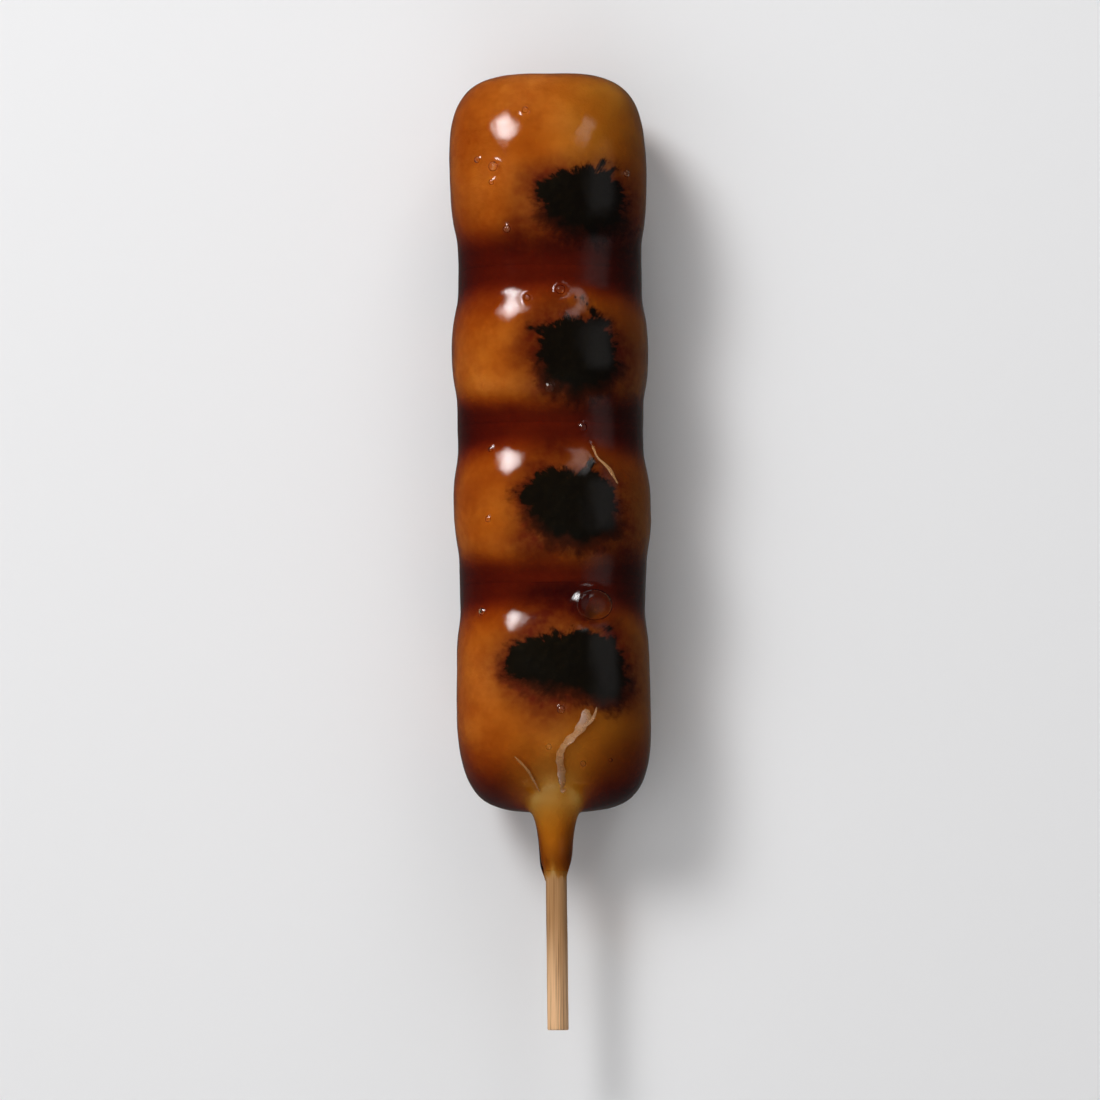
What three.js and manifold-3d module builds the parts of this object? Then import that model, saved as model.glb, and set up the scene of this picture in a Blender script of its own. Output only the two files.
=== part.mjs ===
// A glazed dango skewer: four soft rice dumplings pressed together on a round bamboo stick,
// with thick sweet soy sauce set in the grooves between them and run down onto the stick.
// Millimetres, +Z up. The skewer lies along Y with its handle towards -Y, and the origin is
// under the middle of it, on the surface that it lies on.

import * as THREE from "three";
import { mergeVertices } from "three/addons/utils/BufferGeometryUtils.js";
import Module from "manifold-3d";

const wasm = await Module();
wasm.setup();

const { lerp, smoothstep } = THREE.MathUtils;

// Driving dimensions
const OVERALL_LENGTH = 135;
const DUMPLING_LENGTHS = [28.2, 22.0, 22.4, 28.6]; // from the tip to the handle
const HALF_WIDTHS = [13.75, 13.9, 13.7, 13.8];
const HALF_HEIGHTS = [12.75, 12.9, 12.85, 12.7];
const AXIS_HEIGHT = 12.2; // a little under the half heights, so each dumpling sits on a flat
const STICK_RADIUS = 1.5;
const STICK_TIP_COVER = 9; // rice beyond the stick's buried point
const STICK_TIP_LENGTH = 8;
const STICK_CHAMFER = 0.25;
const STICK_YAW = 0.0115; // radians, the stick's slant across Y
const STICK_X_AT_ORIGIN = 0.12;
const GAP = 0.3; // between pieces that touch

// Form of the dumplings, as exponents and shares of the full section
const SECTION_EXPONENT = 2.5; // 2 is an ellipse, more is squarer
const PRESSED_EXPONENT = 3.0; // where dumplings are pressed together
const TIP_EXPONENT = { side: 4.2, top: 2.7 }; // the free end lies squarer than it looks from the side
const HANDLE_EXPONENT = 2.3;
const MEAN_RADIUS = 13.3;
const ROUND_SHARE = 0.2; // nearer the stick than this the section is round
const SQUARE_SHARE = 0.75; // further out than this it has its full form
const TOP_SHARPNESS = 3; // how quickly the form of the top gives way to that of the sides

// Waves of hand-pressed rice, as a share of the section: turns are counted round the stick and
// radians for each millimetre along it.
const WAVES = [
  { height: 0.012, turns: 2, along: 0.12, phase: 0.7 },
  { height: 0.008, turns: 3, along: -0.17, phase: 2.1 },
  { height: 0.006, turns: 0, along: 0.23, phase: 1.3 },
];

// Form of the sauce
const NECK_LEVEL = { side: 0.955, top: 0.915 }; // how far out the sauce fills a groove
const NECK_BLEND = 0.06;
const NECK_HALF_WIDTH = 6;
const NECK_HOLE_RADIUS = 7.4; // rice meets rice inside this
const SAUCE_END_EXPONENT = { side: 4.4, top: 2.6 }; // it squares off the last dumpling's end
const SAUCE_END_COVER = { side: 3.4, top: 0.6 }; // sauce beyond the last dumpling's end
const SAUCE_END_START = 5.5; // from the widest part of the last dumpling to the sauce's edge
const COLLAR_LENGTH = 13.1; // sauce run down onto the stick, from the dumpling's end
const COLLAR_FLARE = 3.2; // radius that it adds at the dumpling's end
const COLLAR_FALL = 2.7; // length over which the flare dies away
const COLLAR_RADIUS = 2.2;

// Facets
const SIDES = 30;
const DUMPLING_STEPS = 16;
const NECK_STEPS = 10;
const SAUCE_END_STEPS = 9;
const COLLAR_STEPS = 8;
const COLLAR_STEP_GROWTH = 1.5; // the steps get longer away from the dumpling
const STICK_SIDES = 20;
const WELD_DISTANCE = 1e-4;

const TIP_Y = OVERALL_LENGTH / 2;
const HANDLE_Y = -OVERALL_LENGTH / 2;
const FREE_END = DUMPLING_LENGTHS.length - 1;

const stickX = (y) => STICK_X_AT_ORIGIN - y * Math.tan(STICK_YAW);

// Where each dumpling is widest, how far it reaches each way from there, and how square it is there.
function layOutDumplings() {
  let top = TIP_Y;
  return DUMPLING_LENGTHS.map((length, i) => {
    const isTip = i === 0;
    const isLast = i === FREE_END;
    const pressedHalf = DUMPLING_LENGTHS[i < FREE_END - 1 ? 1 : 2] / 2;
    const far = isTip ? length - pressedHalf : pressedHalf;
    const near = length - far;
    const dumpling = {
      y: top - far,
      far: isTip ? far : far - GAP / 2,
      near: isLast ? near : near - GAP / 2,
      farExponent: isTip ? TIP_EXPONENT : { side: PRESSED_EXPONENT, top: PRESSED_EXPONENT },
      nearExponent: isLast ? HANDLE_EXPONENT : PRESSED_EXPONENT,
      bottom: top - length,
    };
    top -= length;
    return dumpling;
  });
}

const dumplings = layOutDumplings();
const necks = dumplings.slice(0, FREE_END).map((d) => d.bottom);
const lastDumpling = dumplings[FREE_END];
const collarEnd = lastDumpling.y - lastDumpling.near - COLLAR_LENGTH;

// Eases from one dumpling's size to the next, between the places where they are widest.
function alongSkewer(values, y) {
  if (y >= dumplings[0].y) return values[0];
  if (y <= lastDumpling.y) return values[FREE_END];
  const i = dumplings.findIndex((d, k) => k < FREE_END && y <= d.y && y > dumplings[k + 1].y);
  return lerp(values[i + 1], values[i], smoothstep(y, dumplings[i + 1].y, dumplings[i].y));
}

const unevenness = (y, angle) =>
  WAVES.reduce((sum, w) => sum + w.height * Math.sin(w.turns * angle + w.along * y + w.phase), 1);

const smoothMax = (a, b, blend) => {
  const near = Math.max(blend - Math.abs(a - b), 0) / blend;
  return Math.max(a, b) + (near * near * blend) / 4;
};

// Mixes a form's value at the sides and underneath with its value on top, by the angle round the stick.
const roundStick = ({ side, top }, angle) => lerp(side, top, ((1 + Math.sin(angle)) / 2) ** TOP_SHARPNESS);

// Distance from the stick's axis at a share of the full section: a rounded square, round near the axis.
function radiusAt(y, angle, share) {
  const c = Math.abs(Math.cos(angle));
  const s = Math.abs(Math.sin(angle));
  const rounding = (c ** SECTION_EXPONENT + s ** SECTION_EXPONENT) ** (-1 / SECTION_EXPONENT);
  const section = rounding * Math.hypot(alongSkewer(HALF_WIDTHS, y) * c, alongSkewer(HALF_HEIGHTS, y) * s);
  const squareness = smoothstep(share, ROUND_SHARE, SQUARE_SHARE);
  return share * lerp(MEAN_RADIUS, section * unevenness(y, angle), squareness);
}

// Turns a profile about the stick and gives it the dumplings' section. profileAt(angle) lists its points,
// (share of the section, y), as many at each angle, and grow moves the surface outwards.
function turned(profileAt, grow = 0) {
  const template = profileAt(0);
  const geometry = new THREE.LatheGeometry(template, SIDES);
  const position = geometry.getAttribute("position");
  for (let i = 0; i < position.count; i++) {
    const angle = Math.atan2(position.getZ(i), position.getX(i));
    const { x: share, y } = profileAt(angle)[i % template.length];
    const r = share > 0 ? radiusAt(y, angle, share) + grow : 0;
    position.setXYZ(i, stickX(y) + r * Math.cos(angle), y, AXIS_HEIGHT + r * Math.sin(angle));
  }
  return geometry;
}

function solidOf(geometry) {
  const bare = geometry.clone();
  bare.deleteAttribute("normal");
  bare.deleteAttribute("uv");
  const merged = mergeVertices(bare, WELD_DISTANCE);
  return new wasm.Manifold(
    new wasm.Mesh({
      numProp: 3,
      vertProperties: merged.attributes.position.array,
      triVerts: new Uint32Array(merged.index.array),
    }),
  );
}

function geometryOf(solid) {
  const largest = solid.decompose().reduce((a, b) => (a.volume() > b.volume() ? a : b));
  const mesh = largest.getMesh();
  const geometry = new THREE.BufferGeometry();
  geometry.setAttribute("position", new THREE.BufferAttribute(mesh.vertProperties, 3));
  geometry.setIndex(new THREE.BufferAttribute(mesh.triVerts, 1));
  geometry.computeVertexNormals();
  return geometry;
}

// A superellipse: the share of the full section left at a part t of the way to its end.
const superellipse = (t, exponent) => (1 - Math.min(1, t) ** exponent) ** (1 / exponent);

// A point of a superellipse quadrant, by its angle from the widest part towards the end.
function quadrant(angle, length, exponent) {
  const c = Math.cos(angle);
  const s = Math.sin(angle);
  const r = (c ** exponent + s ** exponent) ** (-1 / exponent);
  return { share: r * c, along: length * r * s };
}

function dumplingProfile(d, angle, grow) {
  const points = [new THREE.Vector2(0, d.y - d.near - grow)];
  for (let i = 1; i < DUMPLING_STEPS; i++) {
    const turn = -Math.PI / 2 + (Math.PI * i) / DUMPLING_STEPS;
    const p =
      turn < 0
        ? quadrant(-turn, -d.near - grow, d.nearExponent)
        : quadrant(turn, d.far + grow, roundStick(d.farExponent, angle));
    points.push(new THREE.Vector2(p.share, d.y + p.along));
  }
  points.push(new THREE.Vector2(0, d.y + d.far + grow));
  return points;
}

const dumplingShare = (d, y) => {
  const length = y < d.y ? d.near : d.far;
  return superellipse(Math.abs(y - d.y) / length, PRESSED_EXPONENT);
};

// A disc of sauce across a groove, level with the dumplings at its edges and lower on top.
function neckProfile(i, angle) {
  const hole = NECK_HOLE_RADIUS / MEAN_RADIUS;
  const outer = [];
  for (let k = 0; k <= NECK_STEPS; k++) {
    const y = lerp(necks[i] - NECK_HALF_WIDTH, necks[i] + NECK_HALF_WIDTH, k / NECK_STEPS);
    const rice = Math.max(dumplingShare(dumplings[i], y), dumplingShare(dumplings[i + 1], y));
    outer.push(new THREE.Vector2(smoothMax(rice, roundStick(NECK_LEVEL, angle), NECK_BLEND), y));
  }
  const first = new THREE.Vector2(hole, outer[0].y);
  const last = new THREE.Vector2(hole, outer[NECK_STEPS].y);
  return [first, ...outer, last, first];
}

// The funnel of sauce that runs down onto the stick.
function collarShare(y) {
  const run = Math.max(0, collarEnd + COLLAR_LENGTH - SAUCE_END_COVER.top - y);
  return (COLLAR_RADIUS + COLLAR_FLARE * Math.exp(-run / COLLAR_FALL)) / MEAN_RADIUS;
}

// The cap of sauce round the last dumpling's end. On top it follows the rice, and lower down it
// stands out squarely past it.
function sauceEndProfile(angle) {
  const exponent = roundStick(SAUCE_END_EXPONENT, angle);
  const length = lastDumpling.near + roundStick(SAUCE_END_COVER, angle);
  const lip = collarShare(lastDumpling.y - length);
  const lipTurn = Math.atan2(superellipse(lip, exponent), lip);
  const t = SAUCE_END_START / length;
  const startTurn = Math.atan2(t, superellipse(t, exponent));
  const lipY = lastDumpling.y - quadrant(lipTurn, length, exponent).along;
  const points = [new THREE.Vector2(0, collarEnd)];
  for (let k = 0; k < COLLAR_STEPS; k++) {
    const y = lerp(lipY, collarEnd, (1 - k / COLLAR_STEPS) ** COLLAR_STEP_GROWTH);
    points.push(new THREE.Vector2(collarShare(y), y));
  }
  for (let k = 0; k <= SAUCE_END_STEPS; k++) {
    const p = quadrant(lerp(lipTurn, startTurn, k / SAUCE_END_STEPS), length, exponent);
    points.push(new THREE.Vector2(p.share, lastDumpling.y - p.along));
  }
  points.push(new THREE.Vector2(0, lastDumpling.y - SAUCE_END_START));
  return points;
}

function stickProfile(grow) {
  const tip = TIP_Y - STICK_TIP_COVER;
  const r = STICK_RADIUS + grow;
  return [
    new THREE.Vector2(0, HANDLE_Y - grow),
    new THREE.Vector2(r - STICK_CHAMFER, HANDLE_Y - grow),
    new THREE.Vector2(r, HANDLE_Y - grow + STICK_CHAMFER),
    new THREE.Vector2(r, tip - STICK_TIP_LENGTH),
    new THREE.Vector2(STICK_CHAMFER + grow, tip),
    new THREE.Vector2(0, tip + grow),
  ];
}

// The stick's own geometry is straight along Y, and its mesh slants it.
const stickPlace = new THREE.Matrix4().compose(
  new THREE.Vector3(STICK_X_AT_ORIGIN, 0, AXIS_HEIGHT),
  new THREE.Quaternion().setFromAxisAngle(new THREE.Vector3(0, 0, 1), STICK_YAW),
  new THREE.Vector3(1, 1, 1),
);
const stickGeometry = new THREE.LatheGeometry(stickProfile(0), STICK_SIDES);
const stickHole = solidOf(new THREE.LatheGeometry(stickProfile(GAP), STICK_SIDES).applyMatrix4(stickPlace));
const underSurface = solidOf(
  new THREE.BoxGeometry(OVERALL_LENGTH, 2 * OVERALL_LENGTH, AXIS_HEIGHT).translate(0, 0, -AXIS_HEIGHT / 2),
);

const dumplingForm = (d, grow) => solidOf(turned((angle) => dumplingProfile(d, angle, grow), grow));
const grownDumplings = dumplings.map((d) => dumplingForm(d, GAP));

const dumplingSolid = (i) => dumplingForm(dumplings[i], 0).subtract(stickHole).subtract(underSurface);

const neckSolid = (i) =>
  solidOf(turned((angle) => neckProfile(i, angle)))
    .subtract(grownDumplings[i])
    .subtract(grownDumplings[i + 1])
    .subtract(underSurface);

const sauceEndSolid = () =>
  solidOf(turned(sauceEndProfile))
    .subtract(grownDumplings[FREE_END])
    .subtract(stickHole)
    .subtract(underSurface);

const rice = new THREE.MeshStandardMaterial({ color: 0xb9762f, roughness: 0.3, metalness: 0 });
const sauce = new THREE.MeshStandardMaterial({ color: 0x5a1e0c, roughness: 0.12, metalness: 0 });
const bamboo = new THREE.MeshStandardMaterial({ color: 0xc8a272, roughness: 0.65, metalness: 0 });

function named(name, geometry, material) {
  const mesh = new THREE.Mesh(geometry, material);
  mesh.name = name;
  return mesh;
}

const skewer = new THREE.Group();
skewer.name = "dango_skewer";
for (let i = 0; i <= FREE_END; i++) {
  skewer.add(named(`dango_${i + 1}`, geometryOf(dumplingSolid(i)), rice));
}
for (let i = 0; i < FREE_END; i++) {
  skewer.add(named(`sauce_neck_${i + 1}`, geometryOf(neckSolid(i)), sauce));
}
skewer.add(named("sauce_end", geometryOf(sauceEndSolid()), sauce));

const stick = named("stick", stickGeometry, bamboo);
stick.position.set(STICK_X_AT_ORIGIN, 0, AXIS_HEIGHT);
stick.rotation.z = STICK_YAW;
skewer.add(stick);

export default skewer;
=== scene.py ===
"""Dresses a glazed dango skewer that lies on a pale studio floor.

Four grilled rice dumplings sit on a bamboo stick. One body of clear amber sauce wraps all four,
fills the grooves between them and runs down onto the stick. The rice lies inside the sauce, so the
sauce darkens by its own depth. Air bubbles lie in it, and pale threads near its skin are painted
highlights along its raised strings.
Lengths are metres unless a line says millimetres, +Y runs towards the tip and +Z is up.
"""

import logging
import math
from dataclasses import dataclass, field
from enum import Enum

import bpy
import numpy as np
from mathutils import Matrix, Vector, noise


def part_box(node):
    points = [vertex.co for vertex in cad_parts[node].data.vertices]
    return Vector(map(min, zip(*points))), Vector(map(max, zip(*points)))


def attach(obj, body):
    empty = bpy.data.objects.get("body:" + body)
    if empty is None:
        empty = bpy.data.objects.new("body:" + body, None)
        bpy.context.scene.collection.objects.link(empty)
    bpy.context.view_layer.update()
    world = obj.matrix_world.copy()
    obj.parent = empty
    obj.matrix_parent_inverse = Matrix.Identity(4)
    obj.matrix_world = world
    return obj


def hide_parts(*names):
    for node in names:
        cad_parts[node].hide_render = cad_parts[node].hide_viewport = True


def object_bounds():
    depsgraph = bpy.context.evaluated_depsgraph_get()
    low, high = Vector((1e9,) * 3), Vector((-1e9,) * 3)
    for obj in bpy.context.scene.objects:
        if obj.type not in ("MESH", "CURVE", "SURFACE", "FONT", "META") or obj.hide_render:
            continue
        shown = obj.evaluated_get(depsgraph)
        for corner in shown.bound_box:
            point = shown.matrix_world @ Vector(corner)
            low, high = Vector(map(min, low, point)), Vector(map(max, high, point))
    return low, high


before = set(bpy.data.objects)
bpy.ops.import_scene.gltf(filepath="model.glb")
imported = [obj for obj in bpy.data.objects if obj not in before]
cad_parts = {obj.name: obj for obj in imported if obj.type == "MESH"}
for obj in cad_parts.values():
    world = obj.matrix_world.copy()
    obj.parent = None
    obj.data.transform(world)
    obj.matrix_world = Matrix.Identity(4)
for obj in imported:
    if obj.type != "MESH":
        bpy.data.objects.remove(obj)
CAD_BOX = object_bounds()

LOG = logging.getLogger("dango_skewer")
MM = 0.001
BODY = "root"
FAR_OUTSIDE = -9.0  # millimetres from a grill mark, where none is near
SIDE_MIX = 0.6  # cosine of the angle where the left side's values have given way to the right's
UPWARDS = 0.05  # least Z of a normal on the side that the grill touched
QUARTER_TURN = math.pi / 2
# Points along a stretch before its rings are spaced evenly.
ARC_POINTS = 200
SIDE_POINTS = 160
SHORT_POINTS = 60
GROOVE_POINTS = 600

Colour = tuple[float, float, float, float]
Point = tuple[float, float]
Range = tuple[float, float]
Triple = tuple[float, float, float]
Faces = list[tuple[int, ...]]
Socket = bpy.types.NodeSocket


class Slot(str, Enum):
    """Names of the material slots."""

    RICE = "rice_dumpling"
    SAUCE = "sauce"
    BAMBOO = "bamboo"


class Seed(float, Enum):
    """Offsets that give each use of the noise its own pattern."""

    LUMPS = 11.0
    CRUST = 4.0
    WAVES = 31.0
    RIPPLES = 57.0
    THREADS = 71.0
    FIBRES = 5.0
    SPLINTERS = 9.0


# ---- small maths


def smoothstep(low: float, high: float, value: np.ndarray) -> np.ndarray:
    """Eases from 0 at low to 1 at high."""
    t = np.clip((value - low) / (high - low), 0.0, 1.0)
    return t * t * (3.0 - 2.0 * t)


def smooth_max(a: np.ndarray, b: np.ndarray, blend: float) -> np.ndarray:
    """The larger of two values, rounded where they meet.

    Args:
        a: One value at each place.
        b: The other value at each place.
        blend: Difference over which the two melt into each other.

    Returns:
        The blended maximum.
    """
    near = np.maximum(blend - np.abs(a - b), 0.0) / blend
    rise = near * near * blend / 4.0
    return np.maximum(a, b) + rise


def superellipse(t: np.ndarray, exponent: np.ndarray) -> np.ndarray:
    """Share of the full section left at a part t of the way to an end."""
    return (1.0 - np.clip(t, 0.0, 1.0) ** exponent) ** (1.0 / exponent)


def quadrant(
    turn: np.ndarray, length: np.ndarray, exponent: np.ndarray
) -> tuple[np.ndarray, np.ndarray]:
    """Points of a rounded end, by their angle from the widest part towards the end.

    Args:
        turn: Angles from 0 at the widest part to a quarter turn at the end.
        length: Reach of the end along the skewer.
        exponent: 2 is an ellipse, more is squarer.

    Returns:
        The share of the full section and the distance along, at each angle.
    """
    c, s = np.abs(np.cos(turn)), np.abs(np.sin(turn))
    r = (c**exponent + s**exponent) ** (-1.0 / exponent)
    return r * c, length * r * s


def fractal(points: np.ndarray, size: float, seed: float, octaves: int = 2) -> np.ndarray:
    """Soft noise about 0, within about 1 either way.

    Args:
        points: Places, as an array of (..., 3).
        size: Width of its largest lumps.
        seed: Offset that gives each use its own pattern.
        octaves: How many finer layers it has.

    Returns:
        One value at each place.
    """
    flat = points.reshape(-1, 3) / size + seed
    values = [noise.fractal(Vector(p), 1.0, 2.0, octaves) for p in flat]
    return np.array(values).reshape(points.shape[:-1])


def gap_to_path(x: np.ndarray, y: np.ndarray, a: Point, b: Point) -> tuple[np.ndarray, np.ndarray]:
    """Distance from a straight stretch of a path, and how far along it that is.

    Args:
        x: Places across.
        y: Places along the skewer.
        a: Start of the stretch.
        b: End of the stretch.

    Returns:
        The distance, and a share from 0 at the start to 1 at the end.
    """
    ex, ey = b[0] - a[0], b[1] - a[1]
    t = np.clip(((x - a[0]) * ex + (y - a[1]) * ey) / (ex * ex + ey * ey), 0.0, 1.0)
    return np.hypot(x - a[0] - t * ex, y - a[1] - t * ey), t


# ---- the skewer's form


@dataclass(frozen=True)
class Turning:
    """A value that changes round the stick.

    Attributes:
        side: Its value at the sides and underneath.
        top: Its value on top.
        sharpness: How quickly the top gives way to the sides.
    """

    side: float
    top: float
    sharpness: float = 3.0

    def at(self, angle: np.ndarray) -> np.ndarray:
        """The value at each angle round the stick."""
        return self.side + (self.top - self.side) * ((1.0 + np.sin(angle)) / 2.0) ** self.sharpness


@dataclass(frozen=True)
class Lopsided:
    """A value that differs between the left and the right of the skewer.

    Attributes:
        left: Its value towards -X.
        right: Its value towards +X.
    """

    left: Turning
    right: Turning

    def at(self, angle: np.ndarray) -> np.ndarray:
        """The value at each angle round the stick."""
        share = smoothstep(-SIDE_MIX, SIDE_MIX, np.cos(angle))
        return self.left.at(angle) * (1.0 - share) + self.right.at(angle) * share


@dataclass(frozen=True)
class Place:
    """How one dumpling lies along the skewer.

    Attributes:
        middle: Where it is widest, along Y.
        far: How far it reaches from there towards the tip.
        near: How far it reaches from there towards the handle.
    """

    middle: float
    far: float
    near: float

    def share(self, y: np.ndarray, exponent: float) -> np.ndarray:
        """Share of the full section at each y, from 1 in the middle to 0 at both ends."""
        length = np.where(y >= self.middle, self.far, self.near)
        return superellipse(np.abs(y - self.middle) / length, exponent)


@dataclass(frozen=True)
class Wave:
    """A slow wave of hand-pressed rice.

    Attributes:
        height: Its height, as a share of the section.
        turns: How often it repeats round the stick.
        along: Radians for each millimetre along the stick.
        phase: Where it starts.
    """

    height: float
    turns: int
    along: float
    phase: float

    def at(self, y: np.ndarray, angle: np.ndarray) -> np.ndarray:
        """The wave's height at each place."""
        return self.height * np.sin(self.turns * angle + self.along * y / MM + self.phase)


@dataclass(frozen=True)
class Section:
    """The rounded square that a cut across the skewer shows.

    Attributes:
        half_widths: Across each dumpling, from the tip.
        half_heights: Up each dumpling, from the tip.
        exponent: 2 is an ellipse, more is squarer.
    """

    half_widths: tuple[float, ...] = (13.75 * MM, 13.9 * MM, 13.7 * MM, 13.8 * MM)
    half_heights: tuple[float, ...] = (12.75 * MM, 12.9 * MM, 12.85 * MM, 12.7 * MM)
    exponent: float = 2.5


@dataclass
class SkewerForm:
    """The form that the rice, the sauce and the stick share, laid out from the frame's boxes.

    Attributes:
        skin: The section of the sauce's skin.
        waves: The unevenness of the section.
        axis_height: Height of the stick's axis.
        stick_radius: Radius of the bamboo stick.
        stick_slant: The stick's slant across Y, in radians.
        stick_x: Where the stick's axis crosses the middle of the skewer.
        mean_radius: Radius on which the shares near the stick are based.
        round_share: Nearer the stick than this share the section is round.
        square_share: Further out than this share it has its full form.
        pressed_exponent: How square a dumpling is where the next one presses on it.
        tip_exponent: How square the free end of the first dumpling is.
        neck_level: Share out to which the sauce fills a groove.
        neck_blend: Rounding between groove and dumpling, as a share.
        end_exponent: How square the sauce makes the last dumpling's end.
        end_cover: Sauce beyond the last dumpling's end.
        collar_length: Sauce run down onto the stick, from the dumpling's end.
        collar_radius: Radius of that sauce.
        collar_flare: Radius that it adds at the dumpling's end.
        collar_fall: Length over which the flare dies away.
        steepest: Cosine of the flattest angle at which a point still counts as on top.
        rounds: How often the angle under a place is refined.
        tip: Where the first dumpling ends, along Y.
        rice_end: Where the last dumpling ends.
        collar_end: Where the sauce on the stick ends.
        stick_tip: Where the stick's point is.
        stick_end: Where its cut end is.
        places: How each dumpling lies, from the tip.
    """

    skin: Section = Section()
    waves: tuple[Wave, ...] = (
        Wave(0.012, 2, 0.12, 0.7),
        Wave(0.008, 3, -0.17, 2.1),
        Wave(0.006, 0, 0.23, 1.3),
    )
    axis_height: float = 12.2 * MM
    stick_radius: float = 1.5 * MM
    stick_slant: float = 0.0115
    stick_x: float = 0.12 * MM
    mean_radius: float = 13.3 * MM
    round_share: float = 0.2
    square_share: float = 0.75
    pressed_exponent: float = 3.0
    tip_exponent: Turning = Turning(4.2, 2.7)
    neck_level: Turning = Turning(0.955, 0.915)
    neck_blend: float = 0.06
    end_exponent: Turning = Turning(4.4, 2.6)
    end_cover: Turning = Turning(3.4 * MM, 0.6 * MM)
    collar_length: float = 13.1 * MM
    collar_radius: float = 2.2 * MM
    collar_flare: float = 3.2 * MM
    collar_fall: float = 2.7 * MM
    steepest: float = 0.98
    rounds: int = 12
    tip: float = field(init=False)
    rice_end: float = field(init=False)
    collar_end: float = field(init=False)
    stick_tip: float = field(init=False)
    stick_end: float = field(init=False)
    places: list[Place] = field(init=False)

    def __post_init__(self) -> None:
        """Reads where the dumplings and the stick lie from their boxes in the frame."""
        boxes = [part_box(f"dango_{i}") for i in range(1, 5)]
        joints = [(a[0].y + b[1].y) / 2 for a, b in zip(boxes, boxes[1:])]
        self.tip, self.rice_end = boxes[0][1].y, boxes[-1][0].y
        second, third = (joints[0] - joints[1]) / 2, (joints[1] - joints[2]) / 2
        self.places = [
            Place(joints[0] + second, self.tip - joints[0] - second, second),
            Place(joints[0] - second, second, second),
            Place(joints[1] - third, third, third),
            Place(joints[2] - third, third, joints[2] - third - self.rice_end),
        ]
        stick_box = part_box("stick")
        self.stick_end, self.stick_tip = stick_box[0].y, stick_box[1].y
        self.collar_end = self.rice_end - self.collar_length

    def axis_x(self, y: np.ndarray) -> np.ndarray:
        """Where the slanted stick's axis is across the skewer, at each y."""
        return self.stick_x - y * math.tan(self.stick_slant)

    def along(self, values: tuple[float, ...], y: np.ndarray) -> np.ndarray:
        """Eases from one dumpling's value to the next between their middles.

        Args:
            values: Each dumpling's value, from the tip.
            y: Places along the skewer.

        Returns:
            The value at each place.
        """
        result = np.full(np.shape(y), values[-1], float)
        result = np.where(y >= self.places[0].middle, values[0], result)
        for a, b, first, second in zip(self.places, self.places[1:], values, values[1:]):
            t = smoothstep(0.0, a.middle - b.middle, a.middle - y)
            between = (y < a.middle) & (y >= b.middle)
            result = np.where(between, first + (second - first) * t, result)
        return result

    def radius(
        self, section: Section, y: np.ndarray, angle: np.ndarray, share: np.ndarray
    ) -> np.ndarray:
        """Distance from the stick's axis: a rounded square, round near the axis.

        Args:
            section: The cut across the skewer.
            y: Places along the skewer.
            angle: Angles round the stick, from +X towards +Z.
            share: Shares of the full section.

        Returns:
            The radius at each place.
        """
        c, s = np.abs(np.cos(angle)), np.abs(np.sin(angle))
        rounding = (c**section.exponent + s**section.exponent) ** (-1.0 / section.exponent)
        wide = self.along(section.half_widths, y) * c
        high = self.along(section.half_heights, y) * s
        uneven = 1.0 + sum(wave.at(y, angle) for wave in self.waves)
        full = rounding * np.hypot(wide, high) * uneven
        squareness = smoothstep(self.round_share, self.square_share, share)
        return share * (self.mean_radius + (full - self.mean_radius) * squareness)

    def points(self, y: np.ndarray, angle: np.ndarray, radius: np.ndarray) -> np.ndarray:
        """Places in the frame of points given round the stick's axis.

        Args:
            y: Places along the skewer.
            angle: Angles round the stick, from +X towards +Z.
            radius: Distances from the stick's axis.

        Returns:
            The places, as an array of (..., 3).
        """
        x = self.axis_x(y) + radius * np.cos(angle)
        z = self.axis_height + radius * np.sin(angle)
        return np.stack(np.broadcast_arrays(x, y, z), axis=-1)

    def on_axis(self, *y: float) -> np.ndarray:
        """The points of the stick's axis at each y."""
        return self.points(np.array(y), np.zeros(len(y)), np.zeros(len(y)))

    def skin_share(self, y: np.ndarray, angle: np.ndarray) -> np.ndarray:
        """Share out to which rice and sauce together reach.

        Args:
            y: Places along the skewer.
            angle: Angles round the stick.

        Returns:
            The share of the full section at each place.
        """
        first, last = self.places[0], self.places[-1]
        rice = np.max([p.share(y, self.pressed_exponent) for p in self.places], axis=0)
        groove = smooth_max(rice, self.neck_level.at(angle), self.neck_blend)
        free = superellipse((y - first.middle) / first.far, self.tip_exponent.at(angle))
        reach = last.near + self.end_cover.at(angle)
        end = superellipse((last.middle - y) / reach, self.end_exponent.at(angle))
        return np.where(y > first.middle, free, np.where(y < last.middle, end, groove))

    def collar_share(self, y: np.ndarray) -> np.ndarray:
        """Share out to which the sauce on the stick reaches.

        Args:
            y: Places along the skewer.

        Returns:
            The share of the mean radius at each place.
        """
        run = np.maximum(0.0, self.rice_end - self.end_cover.top - y)
        radius = self.collar_radius + self.collar_flare * np.exp(-run / self.collar_fall)
        return radius / self.mean_radius

    def angle_above(self, x: float, y: float) -> float:
        """Angle round the stick of the point of the upper skin that stands over (x, y).

        Args:
            x: Place across the skewer.
            y: Place along it.

        Returns:
            The angle, from +X towards +Z.
        """
        angle = QUARTER_TURN
        here = np.array(y)
        for _ in range(self.rounds):
            radius = float(self.upper_radius(here, np.array(angle)))
            across = (x - float(self.axis_x(here))) / radius
            angle = math.acos(max(-self.steepest, min(self.steepest, across)))
        return angle

    def upper_radius(self, y: np.ndarray, angle: np.ndarray) -> np.ndarray:
        """Radius of the even skin, of the sauce on the stick too.

        Args:
            y: Places along the skewer.
            angle: Angles round the stick.

        Returns:
            The radius at each place.
        """
        share = self.skin_share(y, angle)
        if y < self.places[-1].middle:
            share = np.maximum(share, self.collar_share(y))
        return self.radius(self.skin, y, angle, share)


# ---- meshes from rings


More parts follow.
